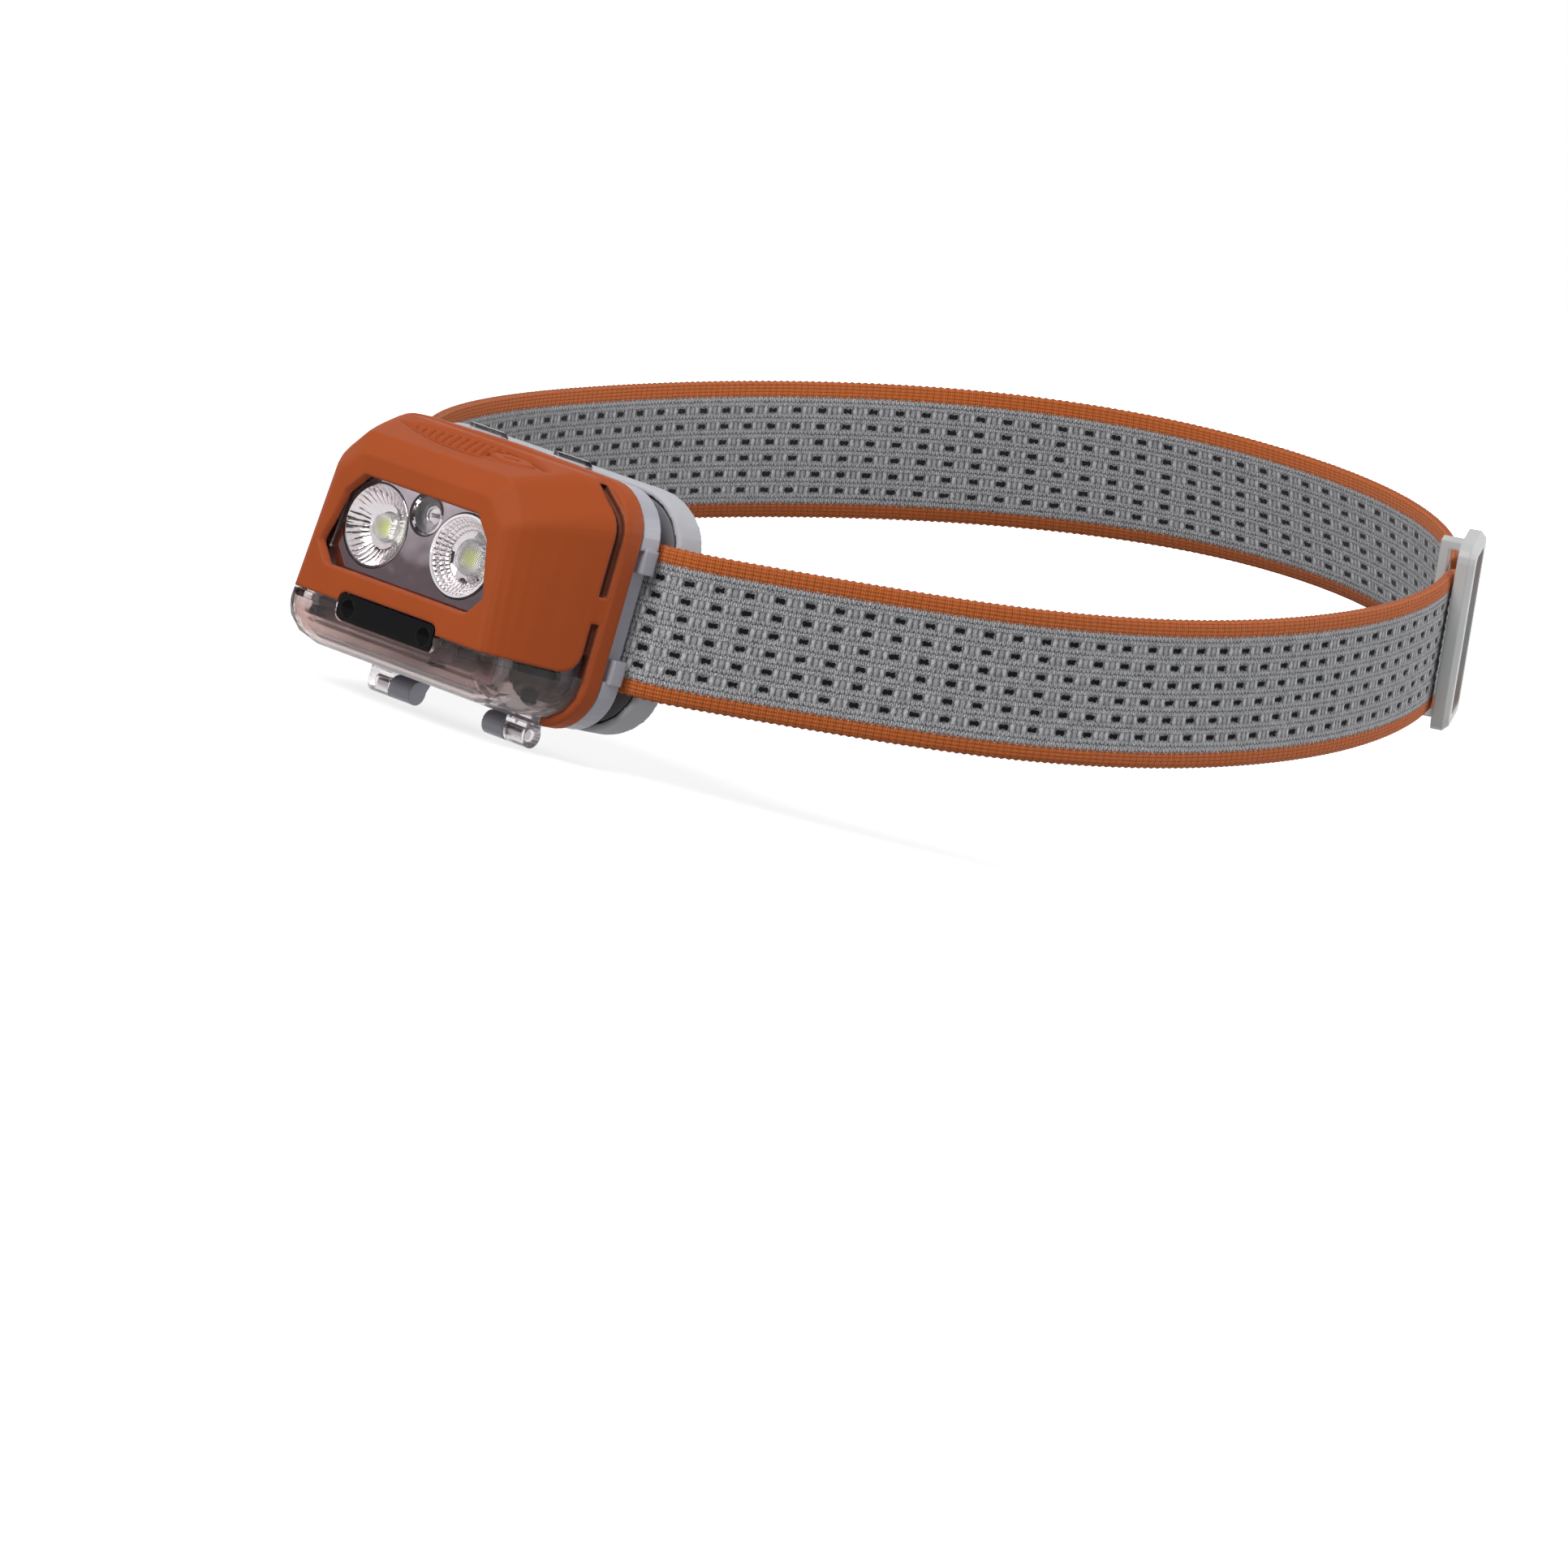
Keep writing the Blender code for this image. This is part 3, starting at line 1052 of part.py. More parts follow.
def build_slider():
    """Three-bar slider: the band runs under its outer bars and over its middle bar."""
    clear = STRAP_THICKNESS / 2 + GAP
    opening_height = STRAP_WIDTH + SLIDER_SLACK
    outer = clear + SLIDER_THICKNESS
    outline = rectangle(SLIDER_WIDTH, SLIDER_HEIGHT, SLIDER_CORNER)
    eased = rectangle(SLIDER_WIDTH - 2 * SLIDER_CHAMFER, SLIDER_HEIGHT - 2 * SLIDER_CHAMFER,
                      SLIDER_CORNER - SLIDER_CHAMFER)
    slider = solid("strap_slider", [at_depth(outline, clear), at_depth(outline, outer - SLIDER_CHAMFER),
                                    at_depth(eased, outer)])
    cut(slider, prism("opening", rectangle(SLIDER_WIDTH - 2 * SLIDER_BAR, opening_height,
                                           SLIDER_CORNER / 2),
                      clear - OVERCUT, outer + OVERCUT))
    half_bar = SLIDER_BAR / 2
    end = SLIDER_HEIGHT / 2 - SLIDER_CHAMFER
    middle = block("middle_bar", (-half_bar, -clear - SLIDER_BAR_THICKNESS, -end), (half_bar, -clear, end))
    for side in (-1, 1):
        low, high = side_span(side, opening_height / 2, end)
        unite(middle, block("post", (-half_bar, -clear - WELD, low), (half_bar, clear + WELD, high)))
    unite(slider, middle)
    slider.data.transform(slider_frame() @ Matrix.Translation((0.0, 0.0, SLIDER_SHIFT)))
    return slider


def carry(pieces, parent):
    """Hang pieces on an empty without moving them."""
    for piece in pieces:
        piece.parent = parent
        piece.matrix_parent_inverse = parent.matrix_world.inverted()


def axis_empty(name, place, turn=0.0):
    """Empty that marks a joint's axis."""
    empty = bpy.data.objects.new(name, None)
    bpy.context.scene.collection.objects.link(empty)
    empty.matrix_world = Matrix.Translation(place) @ Matrix.Rotation(turn, 4, "X")
    return empty


def finish_all(pieces):
    """Paint pieces and smooth the round ones."""
    for piece, finish in pieces:
        paint(piece, finish)
        piece.data.shade_smooth()
        piece.data.set_sharp_from_angle(angle=math.radians(35.0))


def main():
    """Build every piece and hang the moving ones on their axes."""
    clear_scene()
    spot, flood = (-LAMP_SPACING / 2, LAMP_Z), (LAMP_SPACING / 2, LAMP_Z)
    collar, signal = build_signal_light()
    sensor, sensor_board, emitter, receiver = build_sensor()
    board, cell, contact_left, contact_right = build_power()
    lamp = [
        (build_front_cover(), ORANGE), (build_clear_shell(), SMOKE),
        (build_mirror_plate(), CHROME), (build_spot_reflector(spot), CHROME),
        (build_flood_reflector(flood), CHROME), (collar, CHROME), (signal, SIGNAL_CLEAR),
        (build_led("spot_led", spot), PHOSPHOR), (build_led("flood_led", flood), PHOSPHOR),
        (board, BOARD_GREEN), (cell, CELL_BLUE), (contact_left, STEEL), (contact_right, STEEL),
        (build_switch(), RUBBER), (sensor, SENSOR_BLACK), (sensor_board, BOARD_GREEN),
        (emitter, SIGNAL_CLEAR), (receiver, SENSOR_BLACK), (build_seal(), RUBBER),
        (build_rear_cover(), SMOKE)]
    button = build_button()
    screws = [build_screw("plate_screw_%d" % (i + 1), middle)
              for i, middle in enumerate(boss_places())]
    carrier = [
        (build_bracket(), BRACKET_GREY), (build_hinge_pin("hinge_pin_left", -1), STEEL),
        (build_hinge_pin("hinge_pin_right", 1), STEEL), (build_back_plate(), PLATE_GREY),
        (build_forehead_pad(), PAD_GREY), (build_strap(), STRAP_GREY),
        (build_slider(), SLIDER_GREY)] + [(screw, STEEL) for screw in screws]
    finish_all(lamp + carrier + [(button, ORANGE)])
    tilt = axis_empty("tilt_axis", (0.0, HINGE_Y, HINGE_Z))
    press = axis_empty("press_axis", button_frame().translation, BUTTON_SLOPE)
    bpy.context.view_layer.update()
    carry([piece for piece, _ in lamp], tilt)
    carry([button], press)
    carry([press], tilt)


main()
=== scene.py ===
"""Looks of a headlamp on its knitted strap: finishes, fine forms, light and camera.

Metres, +Z up. The lamp shines along -Y and +X is on the viewer's right. Each sub-assembly is a class that
models its own pieces; the nodes that keep their own shape are dressed together.
"""
from __future__ import annotations

import json
import logging
import math
from contextlib import contextmanager
from dataclasses import dataclass
from enum import Enum
from typing import Any, Callable, Iterator, Mapping, Sequence

import bpy
import numpy as np
from mathutils import Matrix, Vector

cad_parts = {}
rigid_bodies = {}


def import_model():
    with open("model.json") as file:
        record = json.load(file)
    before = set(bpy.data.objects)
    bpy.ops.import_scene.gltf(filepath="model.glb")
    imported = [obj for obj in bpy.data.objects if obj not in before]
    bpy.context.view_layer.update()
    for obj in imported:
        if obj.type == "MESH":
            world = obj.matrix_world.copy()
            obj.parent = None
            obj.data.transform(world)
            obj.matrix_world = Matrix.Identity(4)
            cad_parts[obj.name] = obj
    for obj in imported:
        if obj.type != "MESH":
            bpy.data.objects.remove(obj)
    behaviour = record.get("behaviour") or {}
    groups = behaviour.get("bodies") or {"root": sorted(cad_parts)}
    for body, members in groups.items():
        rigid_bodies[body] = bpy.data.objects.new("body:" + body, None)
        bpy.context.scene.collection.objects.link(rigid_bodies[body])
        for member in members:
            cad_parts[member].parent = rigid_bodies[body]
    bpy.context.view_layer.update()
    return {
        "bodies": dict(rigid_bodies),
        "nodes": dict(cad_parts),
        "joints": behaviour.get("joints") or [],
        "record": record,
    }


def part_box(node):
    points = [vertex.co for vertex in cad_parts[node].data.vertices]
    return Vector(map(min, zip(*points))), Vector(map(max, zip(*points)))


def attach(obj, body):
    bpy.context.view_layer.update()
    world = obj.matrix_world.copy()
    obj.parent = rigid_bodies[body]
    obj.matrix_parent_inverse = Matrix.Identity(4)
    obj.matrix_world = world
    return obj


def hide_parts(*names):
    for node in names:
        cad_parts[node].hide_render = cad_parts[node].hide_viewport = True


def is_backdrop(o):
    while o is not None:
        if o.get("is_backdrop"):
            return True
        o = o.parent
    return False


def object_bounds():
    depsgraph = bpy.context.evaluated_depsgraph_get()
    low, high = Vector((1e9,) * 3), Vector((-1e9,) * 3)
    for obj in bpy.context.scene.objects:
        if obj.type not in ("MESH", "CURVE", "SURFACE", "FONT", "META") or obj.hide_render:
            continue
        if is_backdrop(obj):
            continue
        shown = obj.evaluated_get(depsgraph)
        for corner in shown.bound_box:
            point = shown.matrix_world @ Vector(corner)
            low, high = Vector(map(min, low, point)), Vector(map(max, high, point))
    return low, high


LOG = logging.getLogger("headlamp")
MM = 0.001
WELD = 0.001 * MM
NODE_WELD = 0.002 * MM
FACES_FRONT = -0.9
ALL_ROUND = 180.0
TO_FRONT = (math.pi / 2, 0.0, 0.0)

Colour = tuple[float, float, float]
Place = tuple[float, float, float]
Frame = Mapping[str, Any]
Material = bpy.types.Material
Piece = bpy.types.Object


class Body(Enum):
    """Rigid bodies that pieces ride on."""

    CARRIER = "root"
    LAMP = "lamp"
    BUTTON = "press_button"


class Slot(Enum):
    """Material slots of the record."""

    ORANGE = "soft_orange"
    MIRROR = "mirror_coating"
    LENS = "clear_lens"
    PHOSPHOR = "led_phosphor"
    STEEL = "steel"
    BLACK = "black_plastic"
    GREY = "bracket_grey"
    PAD = "pad_grey"
    STRAP = "strap_knit"


def operator(operation: str, swapped: bool = False) -> Callable[[Wire, Any], Wire]:
    """Python operator of a wire.

    Args:
        operation: the Math node's operation.
        swapped: whether the wire is the second value.

    Returns:
        A method that adds the node.
    """
    def apply(self: Wire, other: Wire | float) -> Wire:
        """Add the node."""
        return self.math(operation, *((other, self) if swapped else (self, other)))
    return apply


class Wire:
    """Output socket of a shader node, used in Python expressions."""

    __add__, __radd__ = operator("ADD"), operator("ADD", True)
    __sub__, __rsub__ = operator("SUBTRACT"), operator("SUBTRACT", True)
    __mul__, __rmul__ = operator("MULTIPLY"), operator("MULTIPLY", True)
    __truediv__, __pow__ = operator("DIVIDE"), operator("POWER")

    def __init__(self, graph: Graph, socket: bpy.types.NodeSocket) -> None:
        """Keep the graph that the socket belongs to."""
        self.graph = graph
        self.socket = socket

    def math(self, operation: str, *values: Wire | float) -> Wire:
        """Result of a Math node with these inputs, in order."""
        return self.graph.node("Math", dict(enumerate(values)), operation=operation)

    def beside(self, output: int | str) -> Wire:
        """Another output of the same node."""
        return Wire(self.graph, self.socket.node.outputs[output])

    def __abs__(self) -> Wire:
        """Absolute value."""
        return self.math("ABSOLUTE", self)

    def above(self, edge: Wire | float, soft: float) -> Wire:
        """Step from 0 to 1 that is half way at an edge and as wide as it is soft."""
        ramp = (self - edge) / soft + 0.5
        return self.math("MINIMUM", self.math("MAXIMUM", ramp, 0.0), 1.0)

    def saw(self) -> Wire:
        """Part after the decimal point, from 0 to 1."""
        return self.math("FRACT", self)

    def hump(self) -> Wire:
        """Rounded hump over each whole step of the value: 0 at its ends and 1 in the middle."""
        offset = self.saw() * 2.0 - 1.0
        return 1.0 - offset * offset

    def peak(self) -> Wire:
        """Pointed hump over each whole step of the value: 0 at its ends and 1 in the middle."""
        return 1.0 - abs(self.saw() * 2.0 - 1.0)


class Graph:
    """Node tree that is built through expressions."""

    def __init__(self, tree: bpy.types.NodeTree) -> None:
        """Keep the tree."""
        self.tree = tree

    def node(self, kind: str, inputs: Mapping[Any, Any] | None = None, output: int | str = 0,
             **settings: Any) -> Wire:
        """Add a node.

        Args:
            kind: the node's type, without the word that all types start with.
            inputs: values or links for its input sockets, by name or index.
            output: which output to return.
            settings: its own properties, set first.

        Returns:
            The chosen output.
        """
        made = self.tree.nodes.new("ShaderNode" + kind)
        for key, value in settings.items():
            setattr(made, key, value)
        for key, value in (inputs or {}).items():
            self.feed(made.inputs[key], value)
        return Wire(self, made.outputs[output])

    def feed(self, socket: bpy.types.NodeSocket, value: Any) -> None:
        """Link a wire to a socket, or set the socket's own value."""
        if isinstance(value, Wire):
            self.tree.links.new(value.socket, socket)
        else:
            socket.default_value = value

    def mix(self, share: Wire, first: Wire | Colour, second: Wire | Colour) -> Wire:
        """Colour between two colours: the first at a share of 0, the second at 1."""
        pair = [value if isinstance(value, Wire) else (*value, 1.0) for value in (first, second)]
        return self.node("Mix", {0: share, 6: pair[0], 7: pair[1]}, 2, data_type="RGBA")

    def blend(self, share: Wire, first: Wire, second: Wire) -> Wire:
        """Shader between two shaders."""
        return self.node("MixShader", {0: share, 1: first, 2: second})

    def axes(self, vector: Wire) -> tuple[Wire, Wire, Wire]:
        """Split a vector into its three numbers."""
        first = self.node("SeparateXYZ", {"Vector": vector})
        return first, first.beside(1), first.beside(2)

    def noise(self, vector: Wire, size: float, detail: float = 2.0, output: str | int = 0) -> Wire:
        """Noise about 0.5.

        Args:
            vector: coordinates in metres.
            size: size of a lump in metres.
            detail: octaves of finer noise.
            output: which output to return.

        Returns:
            A number, or a colour where that output is chosen.
        """
        return self.node("TexNoise", {"Vector": vector, "Scale": 1.0 / size, "Detail": detail}, output)

    def stretch(self, vector: Wire, scale: Place) -> Wire:
        """Scale coordinates along their axes."""
        return self.node("Mapping", {"Vector": vector, "Scale": scale})


class Paint(Graph):
    """Material whose Principled shader is fed by expressions."""

    def __init__(self, name: str) -> None:
        """Start a material of that name."""
        self.material = bpy.data.materials.new(name)
        self.material.use_nodes = True
        super().__init__(self.material.node_tree)
        self.shader = self.tree.nodes["Principled BSDF"]
        self.look = Wire(self, self.shader.outputs[0])
        self.place = self.node("TexCoord", output="Object")

    def set(self, sockets: Mapping[str, Any]) -> None:
        """Set or link sockets of the Principled shader."""
        for key, value in sockets.items():
            self.feed(self.shader.inputs[key], value)

    def surface(self, shader: Wire) -> None:
        """Use another shader as the material's surface."""
        self.feed(self.tree.nodes["Material Output"].inputs["Surface"], shader)

    def shades(self, share: Wire, colour: Colour, low: float, high: float = 1.0) -> Wire:
        """Colour that varies between a darker and a lighter gain of itself."""
        dark, light = (tuple(min(value * gain, 1.0) for value in colour) for gain in (low, high))
        return self.mix(share, dark, light)

    def round_edges(self, radius: float) -> Wire:
        """Normal that turns smoothly over sharp edges within a radius."""
        return self.node("Bevel", {"Radius": radius}, samples=6)

    def edge_mask(self, rounded: Wire) -> Wire:
        """0 on flat stretches, up to about 1 on the edges that a rounded normal turns over."""
        flat = self.node("NewGeometry", output="Normal")
        facing = self.node("VectorMath", {0: rounded, 1: flat}, "Value", operation="DOT_PRODUCT")
        return ((1.0 - facing) * 4.0).above(0.35, 0.7)

    def bump(self, height: Wire, depth: float, normal: Wire | None = None) -> None:
        """Raise the surface by a height.

        Args:
            height: value from 0 to 1.
            depth: metres for a height of 1.
            normal: normal to start from.
        """
        inputs: dict[str, Any] = {"Height": height, "Distance": depth, "Strength": 1.0}
        if normal is not None:
            inputs["Normal"] = normal
        self.set({"Normal": self.node("Bump", inputs)})


@dataclass(frozen=True)
class Finish:
    """Finish of a surface; each kind paints its own coat."""

    name: str

    def material(self) -> Material:
        """Material with the finish's coat."""
        paint = Paint(self.name)
        self.coat(paint)
        return paint.material

    def coat(self, paint: Paint) -> None:
        """Feed the material's shader."""
        raise NotImplementedError


@dataclass(frozen=True)
class MouldedFinish(Finish):
    """Opaque moulded plastic, rubber or foam with a fine grain and soft edges."""

    colour: Colour
    roughness: float = 0.5
    grain: float = 0.35 * MM
    depth: float = 0.012 * MM
    edge: float = 0.3 * MM
    edge_lift: float = 0.12
    specular: float = 0.5
    patch: float = 6.0 * MM

    def coat(self, paint: Paint) -> None:
        """Mottled colour, lighter edges and a grain."""
        mottle = paint.noise(paint.place, self.patch, 3.0)
        fine = paint.noise(paint.place, self.grain, 3.0)
        normal = paint.round_edges(self.edge)
        # Edges are mixed towards white by this share.
        edge_tone = tuple(value + (1.0 - value) * self.edge_lift for value in self.colour)
        body = self.body(paint, mottle, fine)
        paint.set({"Base Color": paint.mix(paint.edge_mask(normal) * 0.6, body, edge_tone),
                   "Roughness": self.roughness + (fine - 0.5) * 0.16 + (mottle - 0.5) * 0.08,
                   "Specular IOR Level": self.specular})
        paint.bump(fine, self.depth, normal)

    def body(self, paint: Paint, mottle: Wire, fine: Wire) -> Wire:
        """Colour under the paler edges, from coarse and fine noise."""
        return paint.shades(mottle * 0.6 + fine * 0.4, self.colour, 0.90, 1.10)


@dataclass(frozen=True)
class CoverWithSlotShade(MouldedFinish):
    """Soft cover with painted shade inside its side slots."""

    # Painted shade colour for the insides of the slots, not the rubber's own colour.
    slot: Colour = (0.075, 0.018, 0.007)
    slot_front: float = -17.15 * MM
    slot_back: float = -15.62 * MM
    slot_top: float = 19.3 * MM
    bridge: float = 2.25 * MM
    inner: float = 20.0 * MM
    sharp: float = 0.04 * MM

    def body(self, paint: Paint, mottle: Wire, fine: Wire) -> Wire:
        """Mottled colour, with painted shade within the slots."""
        x, y, z = paint.axes(paint.place)
        deep = y.above(self.slot_front, self.sharp) * (1.0 - y.above(self.slot_back, self.sharp))
        tall = abs(z).above(self.bridge, self.sharp) * (1.0 - z.above(self.slot_top, self.sharp))
        # Painted shade mask: 1 inside the side slots.
        slots = deep * tall * abs(x).above(self.inner, self.sharp)
        return paint.mix(slots, super().body(paint, mottle, fine), self.slot)


@dataclass(frozen=True)
class CarrierFinish(MouldedFinish):
    """Pale carrier with painted shade on its upper part, where the cover's shadow falls."""

    # Colour of the painted shade where the cover's shadow falls on the carrier's top.
    painted_cover_shade: Colour = (0.075, 0.045, 0.040)
    upper_from: float = -14.0 * MM
    upper_span: float = 3.0 * MM
    waver: float = 0.8 * MM

    def body(self, paint: Paint, mottle: Wire, fine: Wire) -> Wire:
        """Mottled colour, with painted shade towards the top."""
        z = paint.axes(paint.place)[2]
        shade = (z + mottle * self.waver).above(self.upper_from, self.upper_span)
        return paint.mix(shade, super().body(paint, mottle, fine), self.painted_cover_shade)


@dataclass(frozen=True)
class ClearFinish(Finish):
    """Clear moulded plastic, polished above a height and milky below it."""

    tint: Colour
    roughness: float = 0.015
    bend: float = 1.14
    dimple: float = 0.0
    edge: float = 0.25 * MM
    low_tint: Colour | None = None
    low_blur: float = 0.0
    milk: float = 0.0
    milk_top: Colour = (0.22, 0.130, 0.115)
    milk_foot: Colour = (0.66, 0.58, 0.62)
    milk_below: float = -11.0 * MM
    milk_span: float = 3.0 * MM
    milk_turn: float = -15.6 * MM
    milk_turn_span: float = 3.6 * MM
    waver: float = 0.8 * MM
    cloud: float = 4.0 * MM
    ripple: float = 0.015 * MM

    def coat(self, paint: Paint) -> None:
        """Transmitting shader, dimpled where the piece has a lens texture."""
        haze = paint.noise(paint.place, self.cloud)
        x, _, z = paint.axes(paint.place)
        tint = paint.shades(haze, self.tint, 0.94)
        low = 1.0 - z.above(self.milk_below - self.milk_span / 2, self.milk_span)
        if self.low_tint:
            tint = paint.mix(low, tint, self.low_tint)
        paint.set({"Base Color": tint, "Roughness": self.roughness + haze * 0.02 + low * self.low_blur,
                   "Transmission Weight": 1.0, "IOR": self.bend, "Coat Weight": 0.35,
                   "Coat Roughness": 0.03})
        normal = paint.round_edges(self.edge)
        if self.dimple:
            dots = ((x + z) / self.dimple).hump() * ((x - z) / self.dimple).hump()
            paint.bump(dots, 0.22 * self.dimple, normal)
        else:
            paint.bump(haze, self.ripple, normal)
        shader = self.milky(paint, haze, z, low) if self.milk else paint.look
        paint.surface(self.lit_through(paint, shader))

    def milky(self, paint: Paint, haze: Wire, z: Wire, low: Wire) -> Wire:
        """Shader that is clouded where low is 1, by its haze and paler towards its foot."""
        foot = 1.0 - (z + haze * self.waver).above(self.milk_turn, self.milk_turn_span)
        cloud = paint.node("BsdfPrincipled",
                           {"Base Color": paint.mix(foot, self.milk_top, self.milk_foot), "Roughness": 0.25,
                            "Coat Weight": 0.4, "Coat Roughness": 0.05})
        return paint.blend(low * (0.7 + haze * 0.6) * self.milk, paint.look, cloud)

    def lit_through(self, paint: Paint, shader: Wire) -> Wire:
        """Shader that lets light between other surfaces pass straight through."""
        path = paint.node("LightPath", output="Is Shadow Ray")
        pane = paint.node("BsdfTransparent", {"Color": (*self.tint, 1.0)})
        return paint.blend(path.math("MAXIMUM", path, path.beside("Is Diffuse Ray")), shader, pane)


@dataclass(frozen=True)
class MirrorFinish(Finish):
    """Vacuum-coated mirror on moulded plastic."""

    colour: Colour = (0.84, 0.82, 0.83)
    roughness: float = 0.03
    wave: float = 0.10 * MM
    wave_size: float = 5.0 * MM
    haze_size: float = 0.8 * MM

    def coat(self, paint: Paint) -> None:
        """Metal with slow waves and a faint haze."""
        wave = paint.noise(paint.place, self.wave_size, 1.0)
        haze = paint.noise(paint.place, self.haze_size, 3.0)
        paint.set({"Base Color": paint.shades(haze, self.colour, 0.92), "Metallic": 1.0,
                   "Roughness": self.roughness + haze * 0.03})
        paint.bump(wave, self.wave)


@dataclass(frozen=True)
class PhosphorFinish(Finish):
    """Phosphor of an unlit white light source, round its middle, with a painted glow that stands in for the
    studio light its reflector gathers.
    """

    middle: Vector
    colour: Colour = (0.70, 0.84, 0.16)
    substrate: Colour = (0.80, 0.80, 0.78)
    half: float = 1.25 * MM
    grain: float = 0.15 * MM
    depth: float = 0.01 * MM

    def coat(self, paint: Paint) -> None:
        """Yellow-green square on a pale base, both with a painted glow."""
        x, _, z = paint.axes(paint.place)
        across = x.math("MAXIMUM", abs(x - self.middle.x), abs(z - self.middle.z))
        grain = paint.noise(paint.place, self.grain)
        yellow = paint.shades(grain, self.colour, 0.85)
        face = paint.mix(across.above(self.half, self.grain), yellow, self.substrate)
        # The emission is painted light: the light source is unlit.
        paint.set({"Base Color": face, "Roughness": 0.35 + grain * 0.2, "Emission Color": face,
                   "Emission Strength": 0.9})
        paint.bump(grain, self.depth)


@dataclass(frozen=True)
class BoardFinish(Finish):
    """Circuit board with tracks under its solder mask."""

    mask: Colour
    track: Colour
    pitch: float = 1.6 * MM
    bend: float = 5.0 * MM
    depth: float = 0.03 * MM
    edge: float = 0.15 * MM

    def coat(self, paint: Paint) -> None:
        """Solder mask over a net of tracks."""
        x, _, z = paint.axes(paint.place)
        wander = paint.noise(paint.place, self.bend, 0.0)
        lines = ((x + wander * 4.0 * MM) / self.pitch).hump().above(0.75, 0.15)
        bars = ((z + wander * 3.0 * MM) / (1.7 * self.pitch)).hump().above(0.85, 0.12)
        tracks = lines.math("MAXIMUM", lines, bars)
        paint.set({"Base Color": paint.mix(tracks, self.mask, self.track), "Roughness": 0.35 + tracks * 0.1})
        paint.bump(tracks, self.depth, paint.round_edges(self.edge))


@dataclass(frozen=True)
class SteelFinish(Finish):
    """Turned steel of pins, screws and contacts."""

    colour: Colour = (0.56, 0.56, 0.57)
    mark: float = 0.6 * MM
    depth: float = 0.01 * MM
    edge: float = 0.15 * MM

    def coat(self, paint: Paint) -> None:
        """Metal with fine turning marks."""
        lathe = paint.noise(paint.stretch(paint.place, (8.0, 1.0, 1.0)), self.mark, 3.0)
        paint.set({"Base Color": paint.shades(lathe, self.colour, 0.75), "Metallic": 1.0,
                   "Roughness": 0.22 + lathe * 0.2})
        paint.bump(lathe, self.depth, paint.round_edges(self.edge))


@dataclass(frozen=True)
class SensorFinish(Finish):
    """Black bar that lets infrared through, with two darker eyes."""

    eye_x: float
    eye_z: float
    radius: float = 1.55 * MM
    colour: Colour = (0.004, 0.004, 0.005)
    eye: Colour = (0.001, 0.001, 0.001)
    sharp: float = 0.12 * MM
    rim: float = 0.10 * MM
    rim_depth: float = 0.06 * MM
    fine: float = 0.3 * MM
    edge: float = 0.3 * MM

    def coat(self, paint: Paint) -> None:
        """Satin black with a round eye at each side."""
        x, _, z = paint.axes(paint.place)
        side, up = abs(x) - self.eye_x, z - self.eye_z
        reach = (side * side + up * up) ** 0.5
        eye = 1.0 - reach.above(self.radius, self.sharp)
        fine = paint.noise(paint.place, self.fine)
        paint.set({"Base Color": paint.mix(eye, self.colour, self.eye),
                   "Roughness": 0.42 - eye * 0.2 + fine * 0.08, "Specular IOR Level": 0.10})
        rim = 1.0 - abs(reach - self.radius).above(self.rim, self.sharp)
        paint.bump(fine * 0.15 - rim, self.rim_depth, paint.round_edges(self.edge))


